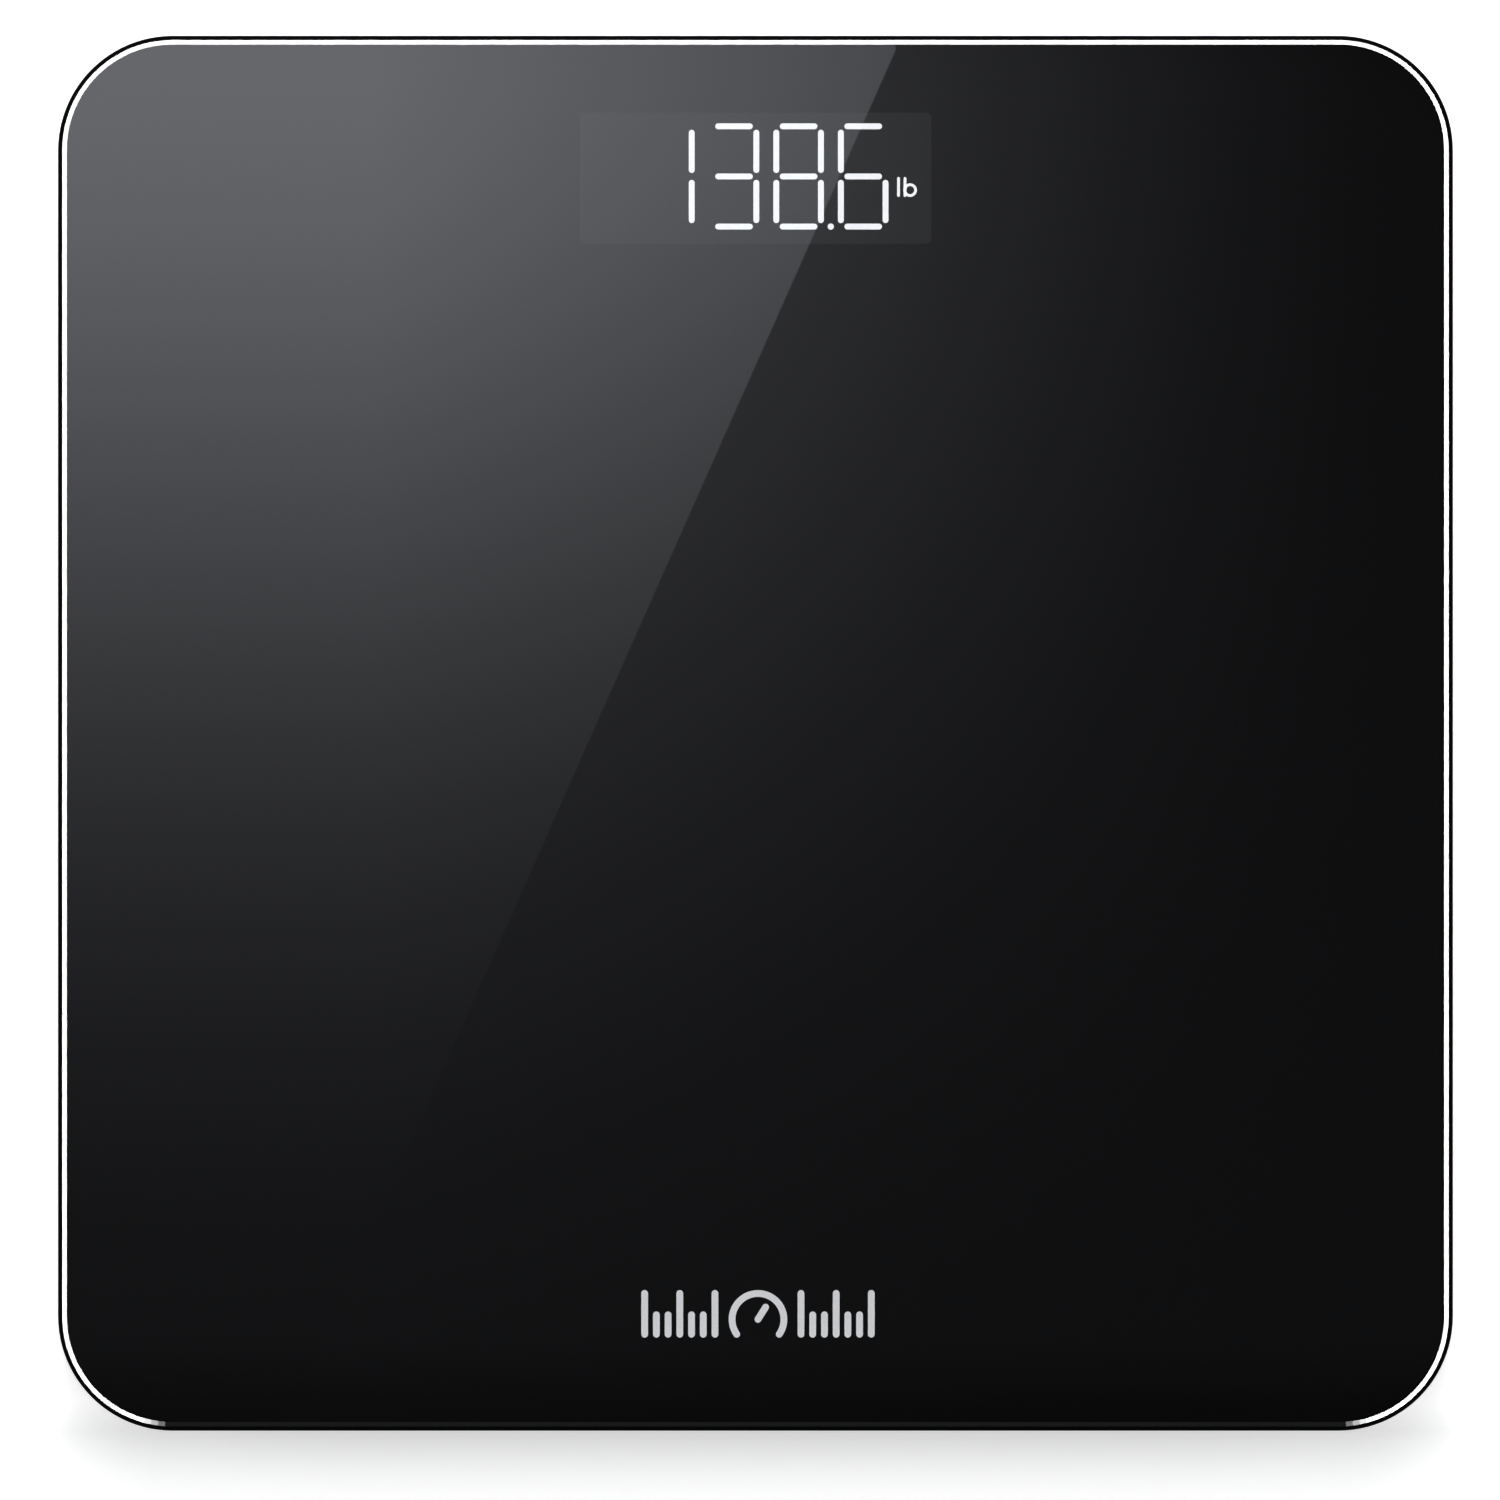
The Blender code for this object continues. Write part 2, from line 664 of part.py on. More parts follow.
def battery_leads():
    """From each terminal's solder tab to the edge of the board."""
    red = [(30.2, 59.2, 15.6), (33.5, 62, 14.6), (35.5, 70, 9.5), (35, 82, 8.6)]
    red += [(33.5, 90, 10.5), (31.5, 93.4, 14.2), (30, 96.2, 14.0)]
    black = [(-30.2, 36.8, 15.6), (-34, 40, 14.2), (-36.5, 50, 8.4), (-36, 68, 7.6)]
    black += [(-35.5, 82, 8.4), (-33.5, 90, 10.5), (-31.5, 93.4, 14.2), (-30, 96.2, 14.0)]
    for name, route, finish in (("red", red, "wire_red"), ("black", black, "wire_black")):
        points = [Vector(point) * MM for point in route]
        keep(tube(f"battery_lead_{name}", points, 0.7 * MM, smooth_by=1), finish)


def latch_outline():
    """The U of the spring latch, in Y and Z, from the front edge of the door."""
    front = -DOOR_OPENING.y / 2
    inner, outer, wall = front - 0.3 * MM, front - 3.7 * MM, 1.0 * MM
    low, shoulder, top = BASE_BOTTOM, BASE_BOTTOM + DOOR_THICKNESS, 10.4 * MM
    return [
        (front + 1.5 * MM, low),
        (front + 1.5 * MM, shoulder),
        (inner, shoulder),
        (inner, top - 1 * MM),
        (inner - 0.6 * MM, top),
        (outer + 0.6 * MM, top),
        (outer, top - 1 * MM),
        (outer, low),
        (outer + 2.0 * MM, low),
        (outer + wall, low + 1 * MM),
        (outer + wall, top - wall - 0.5 * MM),
        (inner - wall, top - wall - 0.5 * MM),
        (inner - wall, low),
    ]


def battery_door():
    """The cover of the bay: hooked under the floor at the back, latched at the front."""
    half = DOOR_OPENING / 2 - Vector((GAP, GAP))
    size = (2 * half.x, 2 * half.y)
    outline = rounded_rectangle(size, 1.2 * MM, 3, (0, BAY_Y))
    top = BASE_BOTTOM + DOOR_THICKNESS
    door = baked(plate("battery_door", [outline], BASE_BOTTOM, top))
    added = new_collection("door_additions")
    latch = plate("latch", [latch_outline()], -4.6 * MM, 4.6 * MM)
    latch = helper(baked(latch), added)
    turn = Matrix(((0, 0, 1), (1, 0, 0), (0, 1, 0))).to_4x4()
    latch.matrix_world = Matrix.Translation((0, BAY_Y, 0)) @ turn
    hinge_y = BAY_Y + DOOR_OPENING.y / 2
    for x in (-15, 15):
        sides = ((x - 4) * MM, (x + 4) * MM)
        low = (sides[0], hinge_y - 1.5 * MM, top - 0.5 * MM)
        helper(box("tab_root", low, (sides[1], hinge_y - 0.4 * MM, 6.9 * MM)), added)
        low = (sides[0], hinge_y - 1.4 * MM, FLOOR_TOP + GAP)
        helper(box("tab", low, (sides[1], hinge_y + 2.4 * MM, 6.9 * MM)), added)
    for row in (-0.5, 0.5):
        y = BAY_Y + row * CELL_PITCH
        low = (-20 * MM, y - 0.5 * MM, top - 0.5 * MM)
        helper(box("door_rib", low, (20 * MM, y + 0.5 * MM, 6.8 * MM)), added)
    boolean(door, "UNION", added)
    keep(door, "black_abs")


# ---- Unit button


def unit_button():
    x, y = BUTTON_AT
    cap = [
        (0, 6.7 * MM),
        (5.2 * MM, 6.7 * MM),
        (5.2 * MM, FLOOR_TOP + GAP),
        (BUTTON_RADIUS, FLOOR_TOP + GAP),
        (BUTTON_RADIUS, 4.5 * MM),
        (3.4 * MM, 4.1 * MM),
        (0, 4.1 * MM),
    ]
    button = keep(turned("unit_button", cap, 24), "black_abs")
    button.location = (x, y, 0)
    low, high = 6.7 * MM + GAP, 8.6 * MM
    keep(cylinder("switch_plunger", PLUNGER_RADIUS, low, high, (x, y), 16), "chip_black")
    corner = Vector((3, 3, 0)) * MM
    low = Vector((x, y, 7.6 * MM)) - corner
    switch = box("button_switch", low, Vector((x, y, BOARD_BOTTOM - GAP)) + corner)
    bore = cylinder("plunger_bore", PLUNGER_RADIUS + GAP, 7 * MM, 9.3 * MM, (x, y), 16)
    keep(boolean(switch, "DIFFERENCE", helper(bore)), "nickel")


# ---- Display and main board


def screw_places():
    return [
        Vector((sx * SCREW_SPACING.x / 2, BOARD_Y + sy * SCREW_SPACING.y / 2))
        for sx in (-1, 1)
        for sy in (-1, 1)
    ]


def main_board():
    outline = rounded_rectangle(BOARD_SIZE, 2 * MM, 3, (0, BOARD_Y))
    holes = [circle(1.6 * MM, at, 12) for at in screw_places()]
    board = plate("main_board", [outline, *holes], BOARD_BOTTOM, BOARD_TOP)
    keep(board, "board_green")


def bar_outline(centre, length, upright):
    """A bar of a digit: a slot with round ends."""
    radius, steps = BAR_WIDTH / 2, 2
    points = []
    for end, turn in ((1, -0.5), (-1, 0.5)):
        for step in range(steps + 1):
            angle = (turn + step / steps) * math.pi
            along = end * (length / 2 - radius) + radius * math.cos(angle)
            points.append((along, radius * math.sin(angle)))
    if upright:
        points = [(-across, along) for along, across in points]
    return [(centre[0] + px, centre[1] + py) for px, py in points]


def digit_bars(centre):
    """(centre, length, upright) of the seven bars of a digit."""
    half_x, half_y = DIGIT_SIZE.x / 2, DIGIT_SIZE.y / 2
    level = DIGIT_SIZE.x - BAR_WIDTH - 0.05 * MM
    upright = half_y - BAR_WIDTH - BAR_GAP + 0.2 * MM
    bars = [((centre[0], centre[1] + y), level, False) for y in (-half_y, 0, half_y)]
    for x in (-half_x, half_x):
        for y in (-half_y / 2, half_y / 2):
            bars.append(((centre[0] + x, centre[1] + y), upright, True))
    return bars


def display():
    """The reflector has a light well for each bar, with a milky film over it."""
    size = (70 * MM, 25.6 * MM)
    wells = []
    for digit in range(DIGITS):
        centre = (LAST_DIGIT_X - digit * DIGIT_PITCH, WINDOW_Y + 0.2 * MM)
        wells += [bar_outline(*bar) for bar in digit_bars(centre)]
    wells.append(circle(0.7 * MM, (LAST_DIGIT_X - DIGIT_PITCH / 2, WINDOW_Y - 9.8 * MM), 8))
    outline = rounded_rectangle(size, 0.8 * MM, 2, (0, WINDOW_Y))
    low, high = BOARD_TOP + GAP, FILM_BOTTOM - 1.0 * MM
    keep(plate("display_reflector", [outline, *wells], low, high), "white_plastic")
    low = high + GAP
    keep(plate("display_diffuser", [outline], low, low + 0.4 * MM), "milky_film")


def board_pieces():
    """The chips and other pieces soldered under the board."""
    top = BOARD_BOTTOM - GAP
    chips = (
        ("controller_chip", (-14, 110), (12.8, 7.6), 2.3, "chip_black"),
        ("converter_chip", (6, 113), (10, 4), 1.6, "chip_black"),
        ("clock_crystal", (-1, 101), (8, 3.6), 2.6, "nickel"),
    )
    for name, at, size, depth, finish in chips:
        corner = Vector((*size, 0)) * MM / 2
        centre = Vector((*at, 0)) * MM
        low = centre - corner + Vector((0, 0, top - depth * MM))
        chip = box(name, low, centre + corner + Vector((0, 0, top)))
        keep(soften(chip, 0.25 * MM, segments=1), finish)
    capacitor = cylinder("capacitor", 2 * MM, -3.5 * MM, 3.5 * MM, steps=16)
    capacitor.location = (18 * MM, 121 * MM, top - 2 * MM)
    capacitor.rotation_euler.y = math.pi / 2
    keep(capacitor, "nickel", True)


def board_screws():
    head = BOARD_TOP + GAP
    profile = [
        (0, head + 1.4 * MM),
        (1.6 * MM, head + 1.4 * MM),
        (2.5 * MM, head + 0.7 * MM),
        (2.5 * MM, head),
        (0.9 * MM, head),
        (0.9 * MM, 6.6 * MM),
        (0, 6.0 * MM),
    ]
    for number, at in enumerate(screw_places(), 1):
        screw = keep(turned(f"board_screw_{number}", profile, 12), "nickel")
        screw.location = (*at, 0)


clear_scene()
PARTS = new_collection("bathroom_scale")
CUTTERS = new_collection("cutters")

glass_platform()
print_and_window()
bonding_tape()
base_housing()
rating_label()
foot_modules()
sensor_leads()
batteries()
contact_plates()
battery_leads()
battery_door()
unit_button()
main_board()
display()
board_pieces()
board_screws()
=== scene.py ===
"""Looks of the glass-topped bathroom scale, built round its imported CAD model."""

import math

import bmesh
import bpy
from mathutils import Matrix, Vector


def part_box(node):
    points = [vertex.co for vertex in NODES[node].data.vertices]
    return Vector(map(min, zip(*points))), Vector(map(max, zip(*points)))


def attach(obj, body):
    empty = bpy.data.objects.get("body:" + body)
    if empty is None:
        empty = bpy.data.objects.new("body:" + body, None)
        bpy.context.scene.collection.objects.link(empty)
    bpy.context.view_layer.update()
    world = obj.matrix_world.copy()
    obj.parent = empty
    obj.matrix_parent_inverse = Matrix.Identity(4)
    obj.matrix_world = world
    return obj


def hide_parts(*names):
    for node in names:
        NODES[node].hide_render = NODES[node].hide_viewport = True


MM = 0.001
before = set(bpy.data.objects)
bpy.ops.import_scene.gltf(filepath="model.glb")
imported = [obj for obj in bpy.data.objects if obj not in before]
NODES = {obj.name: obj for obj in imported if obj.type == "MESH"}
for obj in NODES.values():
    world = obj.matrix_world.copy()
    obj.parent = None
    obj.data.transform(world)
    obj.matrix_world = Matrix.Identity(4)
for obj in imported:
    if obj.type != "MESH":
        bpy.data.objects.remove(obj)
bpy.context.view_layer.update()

# ---- Camera and stage

CAMERA_HEIGHT = 1.6  # above the glass
FRAME_WIDTH = 300.8 * MM  # what the picture takes in at the height of the glass
AIM = Vector((-1.10, -3.36)) * MM  # the point of the glass in the middle of the picture

GLASS_LOW, GLASS_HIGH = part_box("glass_platform")
GLASS_TOP = GLASS_HIGH.z
SIDE = GLASS_HIGH.x - GLASS_LOW.x
CORNER_RADIUS = 23 * MM


def link(obj):
    bpy.context.scene.collection.objects.link(obj)
    return obj


def add_camera():
    data = bpy.data.cameras.new("camera")
    data.sensor_width = 36
    data.lens = data.sensor_width * CAMERA_HEIGHT / FRAME_WIDTH
    data.clip_end = 20
    camera = link(bpy.data.objects.new("camera", data))
    camera.location = (AIM.x, AIM.y, GLASS_TOP + CAMERA_HEIGHT)
    bpy.context.scene.camera = camera


# ---- Node helpers


class Nodes:
    """A new material's node tree, with short ways to add to it."""

    def __init__(self, name):
        self.material = bpy.data.materials.new(name)
        self.material.use_nodes = True
        self.tree = self.material.node_tree
        self.tree.nodes.clear()
        self.output = self.tree.nodes.new("ShaderNodeOutputMaterial")

    def add(self, kind, settings=None, **inputs):
        node = self.tree.nodes.new("ShaderNode" + kind)
        for key, value in (settings or {}).items():
            setattr(node, key, value)
        for key, value in inputs.items():
            self.feed(node, key, value)
        return node

    def feed(self, node, key, value):
        """Sets or links an input, named with _ for a space or numbered as in_0."""
        index = int(key[3:]) if key.startswith("in_") else key.replace("_", " ")
        if isinstance(value, bpy.types.NodeSocket):
            self.tree.links.new(value, node.inputs[index])
        else:
            node.inputs[index].default_value = value

    def math(self, operation, *values):
        inputs = {f"in_{i}": value for i, value in enumerate(values)}
        return self.add("Math", {"operation": operation}, **inputs).outputs[0]

    def place(self):
        return self.add("TexCoord").outputs["Object"]

    def noise(self, size, detail=3.0, stretch=None):
        """Noise whose lumps are about size across."""
        vector = self.place()
        if stretch:
            vector = self.add("Mapping", Vector=vector, Scale=stretch).outputs[0]
        node = self.add("TexNoise", Vector=vector, Scale=1 / size, Detail=detail)
        return node.outputs["Fac"]

    def ramp(self, fac, stops, interpolation="LINEAR"):
        node = self.add("ValToRGB", Fac=fac)
        node.color_ramp.interpolation = interpolation
        elements = node.color_ramp.elements
        while len(elements) < len(stops):
            elements.new(0.5)
        for element, (position, colour) in zip(elements, stops):
            element.position = position
            element.color = (*colour, 1) if len(colour) == 3 else colour
        return node.outputs["Color"]

    def span(self, value, low, high, out_low, out_high):
        node = self.add("MapRange", Value=value)
        for key, number in zip(
            ("From Min", "From Max", "To Min", "To Max"), (low, high, out_low, out_high)
        ):
            node.inputs[key].default_value = number
        return node.outputs[0]

    def mix(self, fac, a, b):
        node = self.add("Mix", {"data_type": "RGBA"})
        self.feed(node, "in_0", fac)
        self.feed(node, "in_6", a if isinstance(a, bpy.types.NodeSocket) else (*a, 1))
        self.feed(node, "in_7", b if isinstance(b, bpy.types.NodeSocket) else (*b, 1))
        return node.outputs[2]

    def bump(self, height, depth):
        return self.add("Bump", Strength=1.0, Distance=depth, Height=height).outputs[0]

    def finish(self, shader):
        self.tree.links.new(shader.outputs[0], self.output.inputs["Surface"])
        return self.material


def grained(name, dark, light, rough, size, depth, metallic=0.0, stretch=None, **constants):
    """A material whose colour, roughness and relief follow the same fine noise over a
    broader one."""
    n = Nodes(name)
    fine = n.noise(size, 4.0, stretch)
    broad = n.noise(size * 40, 2.0)
    both = n.math("MULTIPLY_ADD", fine, 0.6, n.math("MULTIPLY", broad, 0.4))
    shader = n.add(
        "BsdfPrincipled",
        Base_Color=n.mix(n.span(both, 0.3, 0.7, 0, 1), dark, light),
        Roughness=n.span(both, 0.3, 0.7, *rough),
        Normal=n.bump(fine, depth),
        Metallic=metallic,
    )
    for key, value in constants.items():
        n.feed(shader, key, value)
    return n.finish(shader)


# ---- Stage materials and lights


def square(half):
    return [(-half, -half, 0), (half, -half, 0), (half, half, 0), (-half, half, 0)]


PAINTED_SHADOW_GLOW = 0.60  # the glow under and in front of the scale, where its shadow falls, dimmed there as a painted shadow
FLOOR_HALF = 12.0


def floor_glow_with_painted_shadow(n):
    """How brightly the floor glows through: less in a band just in front of the scale, a
    painted shadow that adds to the cast one, more beside and behind the scale, and more still
    towards the horizon."""
    place = n.place()
    y = n.add("SeparateXYZ", Vector=place).outputs["Y"]
    # painted shadow: the glow drops in front of the scale, with a sharp step beside its corners
    beside = n.span(y, -0.142, -0.136, PAINTED_SHADOW_GLOW, 0.82)
    ahead = n.span(y, -0.151, -0.142, 0.67, PAINTED_SHADOW_GLOW)
    away = n.add("VectorMath", {"operation": "LENGTH"}, in_0=place).outputs["Value"]
    horizon = n.span(away, 0.25, 1.2, PAINTED_SHADOW_GLOW, 1.15)
    return n.math("MAXIMUM", n.math("MAXIMUM", beside, ahead), horizon)


def add_floor():
    """A white sweep, lit through from behind like a light table, with a painted shadow in its
    glow just in front of the scale. From below it isn't there, so that the underside can be
    seen."""
    n = Nodes("studio_floor")
    tone = n.mix(n.noise(0.004), (0.86, 0.86, 0.86), (0.88, 0.88, 0.88))
    matt = n.add("BsdfDiffuse", Color=tone)
    # the glow carries the painted shadow in front of the scale
    lit = n.add("Emission", Color=tone, Strength=floor_glow_with_painted_shadow(n))
    paper = n.add("AddShader", in_0=matt.outputs[0], in_1=lit.outputs[0])
    clear = n.add("BsdfTransparent")
    behind = n.add("NewGeometry").outputs["Backfacing"]
    shadow = n.add("LightPath").outputs["Is Shadow Ray"]
    open_to = n.math("MAXIMUM", behind, shadow)
    mixed = n.add("MixShader", Fac=open_to, in_1=paper.outputs[0], in_2=clear.outputs[0])
    mesh = bpy.data.meshes.new("floor")
    mesh.from_pydata(square(FLOOR_HALF), [], [(0, 1, 2, 3)])
    mesh.materials.append(n.finish(mixed))
    link(bpy.data.objects.new("floor", mesh))


def area_light(name, place, size, power, glossy=False):
    """A lamp that is aimed at the middle of the floor under the scale."""
    data = bpy.data.lights.new(name, "AREA")
    data.shape = "RECTANGLE"
    data.size, data.size_y = size
    data.energy = power
    light = link(bpy.data.objects.new(name, data))
    light.location = place
    light.rotation_euler = (-Vector(place)).to_track_quat("-Z", "Y").to_euler()
    light.visible_glossy = glossy
    light.visible_transmission = False
    return light


# How bright the studio is, by the sine of the height above the horizon
STUDIO_LEVELS = ((0.0, 0.95), (0.13, 0.85), (0.40, 0.36), (0.75, 0.30), (1.0, 0.34))
STUDIO_FRONT = (("From Min", -1.0), ("From Max", -0.2), ("To Min", 0.30), ("To Max", 0.62))


def add_world():
    """Bright at the horizon and dim above it, so that the glass looks black and glossy. It is
    dimmer in front, and the camera sees plain white."""
    world = bpy.data.worlds.new("studio")
    bpy.context.scene.world = world
    world.use_nodes = True
    tree = world.node_tree
    add = lambda kind: tree.nodes.new("ShaderNode" + kind)
    where, split = add("TexCoord"), add("SeparateXYZ")
    ramp, front = add("ValToRGB"), add("MapRange")
    tree.links.new(where.outputs["Generated"], split.inputs[0])
    tree.links.new(split.outputs["Z"], ramp.inputs[0])
    tree.links.new(split.outputs["Y"], front.inputs["Value"])
    for key, number in STUDIO_FRONT:
        front.inputs[key].default_value = number
    ramp.color_ramp.interpolation = "EASE"
    elements = ramp.color_ramp.elements
    while len(elements) < len(STUDIO_LEVELS):
        elements.new(0.5)
    for element, (position, level) in zip(elements, STUDIO_LEVELS):
        element.position = position
        element.color = (level * 0.985, level * 0.99, level, 1)
    studio = tree.nodes["Background"]
    tree.links.new(ramp.outputs[0], studio.inputs["Color"])
    tree.links.new(front.outputs[0], studio.inputs["Strength"])
    white, either, path = add("Background"), add("MixShader"), add("LightPath")
    white.inputs["Color"].default_value = (1, 1, 1, 1)
    tree.links.new(path.outputs["Is Camera Ray"], either.inputs[0])
    tree.links.new(studio.outputs[0], either.inputs[1])
    tree.links.new(white.outputs[0], either.inputs[2])
    tree.links.new(either.outputs[0], tree.nodes["World Output"].inputs["Surface"])


CARD_HEIGHT = 0.5  # above the glass
CARD_HALF = 0.165
FRESNEL = 0.04  # what the glass mirrors head on
RIM_LIGHT = 27.0  # how bright the band is that whitens the bevel of the glass

# The mirrored levels, where 1 is white. Each side of the card is brightest at FAR_Y and falls
# off towards the near edge, over a length and with a power.
FAR_Y = 0.137
LEFT_LEVEL, LEFT_FALL, LEFT_POWER = 0.134, 0.1053, 1.7
LEFT_REACH, LEFT_SLIDE = 0.077, 0.197  # where it starts to fade towards the right, over what
RIGHT_LEVEL, RIGHT_FALL, RIGHT_POWER = 0.0152, 0.126, 1.82
RIGHT_END, RIGHT_REACH, RIGHT_CURVE = 0.1296, 0.0904, 1.6
EDGE_X, EDGE_SLOPE, EDGE_SOFT = 0.0281, 0.444, 0.00015  # the straight edge between the sides
BASE_NEAR, BASE_FAR = 0.0022, 0.0042


def mirrored_only(obj):
    for flag in ("camera", "diffuse", "transmission", "shadow", "volume_scatter"):
        setattr(obj, "visible_" + flag, False)


def card_material():
    """The graded softbox that the glass mirrors: bright at the far left, and cut by a straight
    edge from which the light falls off again. Its coordinates are those of the glass."""
    n = Nodes("graded_card")
    split = n.add("SeparateXYZ", Vector=n.place())
    x, y = split.outputs["X"], split.outputs["Y"]
    below = n.math("MAXIMUM", n.math("SUBTRACT", FAR_Y, y), 0.0)

    def falloff(length, power):
        u = n.math("POWER", n.math("DIVIDE", below, length), power)
        return n.math("EXPONENT", n.math("MULTIPLY", u, -1.0))

    slide = n.math("DIVIDE", n.math("ADD", x, LEFT_REACH), LEFT_SLIDE)
    slide = n.math("MAXIMUM", slide, 0.0)
    left = n.math("SUBTRACT", 1.0, slide)
    left = n.math("MULTIPLY", falloff(LEFT_FALL, LEFT_POWER), left)
    left = n.math("MULTIPLY", left, LEFT_LEVEL)
    reach = n.math("DIVIDE", n.math("SUBTRACT", RIGHT_END, x), RIGHT_REACH)
    reach = n.math("MAXIMUM", reach, 0.0)
    right = n.math("POWER", reach, RIGHT_CURVE)
    right = n.math("MULTIPLY", falloff(RIGHT_FALL, RIGHT_POWER), right)
    right = n.math("MULTIPLY", right, RIGHT_LEVEL)
    edge = n.math("SUBTRACT", EDGE_X, n.math("MULTIPLY", below, EDGE_SLOPE))
    past = n.span(n.math("SUBTRACT", x, edge), -EDGE_SOFT, EDGE_SOFT, 0, 1)
    level = n.add("Mix", {"data_type": "FLOAT"})
    n.feed(level, "in_0", past)
    n.feed(level, "in_2", left)
    n.feed(level, "in_3", right)
    base = n.span(y, -0.135, -0.122, BASE_NEAR, BASE_FAR)
    strength = n.math("DIVIDE", n.math("ADD", level.outputs[0], base), FRESNEL)
    light = n.add("Emission", Color=(0.955, 0.975, 1.06, 1), Strength=strength)
    return n.finish(light)


def add_card():
    """The card stands where each point of the glass mirrors the same point of the card."""
    mesh = bpy.data.meshes.new("graded_card")
    mesh.from_pydata(square(CARD_HALF), [], [(0, 1, 2, 3)])
    mesh.materials.append(card_material())
    card = link(bpy.data.objects.new("graded_card", mesh))
    spread = 1 + CARD_HEIGHT / CAMERA_HEIGHT
    card.scale = (spread, spread, 1)
    offset = -AIM * (CARD_HEIGHT / CAMERA_HEIGHT)
    card.location = (offset.x, offset.y, GLASS_TOP + CARD_HEIGHT)
    mirrored_only(card)


def add_rim_light(receiver):
    """A band of light round the scale that fades out towards the front. Only the polished
    bevel of the glass mirrors it, and everything else sees through it."""
    radius, low, high, steps = 1.0, 0.10, 0.52, 72
    bm = bmesh.new()
    pairs = []
    for step in range(steps):
        angle = 2 * math.pi * step / steps
        x, y = radius * math.cos(angle), radius * math.sin(angle)
        pairs.append((bm.verts.new((x, y, low)), bm.verts.new((x, y, high))))
    for i, (c, d) in enumerate(pairs):
        a, b = pairs[i - 1]
        bm.faces.new((a, b, d, c))
    n = Nodes("rim_light")
    front = n.math("MULTIPLY", n.add("SeparateXYZ", Vector=n.place()).outputs["Y"], -1.0)
    fade = n.span(front, math.cos(math.radians(24)), math.cos(math.radians(13)), RIM_LIGHT, 0.0)
    light = n.add("Emission", Color=(1, 1, 1, 1), Strength=fade)
    clear = n.add("BsdfTransparent", Color=(1, 1, 1, 1))
    both = n.add("AddShader", in_0=light.outputs[0], in_1=clear.outputs[0])
    band = mesh_piece("rim_light", bm)
    band.data.materials.append(n.finish(both))
    mirrored_only(band)
    group = bpy.data.collections.new("rim_light_receivers")
    group.objects.link(receiver)
    band.light_linking.receiver_collection = group


def add_lights():
    """A long narrow key runs from straight above to well behind, so that only the near edge
    casts a shadow that shows from above."""
    area_light("key", (0.0, 0.82, 1.5), (0.3, 1.7), 17)
    area_light("left_fill", (-1.5, 0.1, 1.1), (0.9, 1.4), 2.5)
    area_light("right_fill", (1.5, 0.1, 1.1), (0.9, 1.4), 2.5)
    area_light("under_fill", (0.5, -0.9, -1.1), (1.2, 1.2), 20, glossy=True)
    area_light("under_rake", (-1.3, 0.9, -0.45), (1.0, 0.5), 17, glossy=True)


# ---- Outline and solids of the glass


def rounded_rectangle(size, radius, centre=(0, 0), steps=6):
    """Points of a rectangle with round corners, anticlockwise."""
    points = []
    for quarter, (sx, sy) in enumerate(((1, 1), (-1, 1), (-1, -1), (1, -1))):
        x = centre[0] + sx * (size[0] / 2 - radius)
        y = centre[1] + sy * (size[1] / 2 - radius)
        for step in range(steps + 1):
            angle = (quarter + step / steps) * math.pi / 2
            points.append((x + radius * math.cos(angle), y + radius * math.sin(angle)))
    return points


def outline(inset):
    """Points of the platform's outline, moved in by inset."""
    side = SIDE - 2 * inset
    return rounded_rectangle((side, side), CORNER_RADIUS - inset, steps=24)


def band_faces(bm, upper, lower, slot):
    for i, corner in enumerate(upper):
        face = bm.faces.new((upper[i - 1], corner, lower[i], lower[i - 1]))
        face.material_index = slot


def outline_solid(name, levels, slots, ring=False):
    """A solid through outlines, each an (inset, height), from the top down. slots gives each
    band's material, and then the bottom's and the top's. A ring closes on its first outline
    in place of a bottom and a top."""
    bm = bmesh.new()
    rings = [[bm.verts.new((x, y, z)) for x, y in outline(inset)] for inset, z in levels]
    for upper, lower, slot in zip(rings, rings[1:], slots):
        band_faces(bm, upper, lower, slot)
    if ring:
        band_faces(bm, rings[-1], rings[0], slots[-1])
    else:
        bm.faces.new(rings[-1]).material_index = slots[-2]
        bm.faces.new(rings[0]).material_index = slots[-1]
    bmesh.ops.recalc_face_normals(bm, faces=bm.faces)
    return mesh_piece(name, bm)


def mesh_piece(name, bm):
    mesh = bpy.data.meshes.new(name)
    bm.to_mesh(mesh)
    bm.free()
    return link(bpy.data.objects.new(name, mesh))


def flat_solid(name, loops, low, high, bevel=0.0):
    """A plate between two heights. The loops after the first are holes in it."""
    curve = bpy.data.curves.new(name, "CURVE")
    curve.dimensions = "2D"
    curve.fill_mode = "BOTH"
    curve.extrude = (high - low) / 2 - bevel
    curve.bevel_depth = bevel
    curve.bevel_resolution = 1
    curve.offset = -bevel
    for loop in loops:
        spline = curve.splines.new("POLY")
        spline.points.add(len(loop) - 1)
        for point, (x, y) in zip(spline.points, loop):
            point.co = (x, y, 0, 1)
        spline.use_cyclic_u = True
    obj = link(bpy.data.objects.new(name, curve))
    obj.location.z = (low + high) / 2
    return baked(obj)


def baked(obj):
    """obj's curve or modifiers as one closed mesh, in place."""
    bpy.context.view_layer.update()
    evaluated = obj.evaluated_get(bpy.context.evaluated_depsgraph_get())
    bm = bmesh.new()
    bm.from_mesh(bpy.data.meshes.new_from_object(evaluated))
    bmesh.ops.remove_doubles(bm, verts=bm.verts, dist=0.002 * MM)
    bm.transform(obj.matrix_world)
    name = obj.name
    bpy.data.objects.remove(obj)
    return mesh_piece(name, bm)


def smooth(obj, angle=35):
    obj.data.shade_smooth()
    obj.data.set_sharp_from_angle(angle=math.radians(angle))
    return obj


def place_piece(obj, body, slot, *materials, replaces=()):
    """Puts obj on its body, with its materials, in place of CAD nodes. slot is not used."""
    for material in materials:
        obj.data.materials.append(material)
    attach(obj, body)
    if replaces:
        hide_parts(*replaces)
    return obj


# ---- Glass

TINT = 0.2  # what the smoked glass lets through on one passage


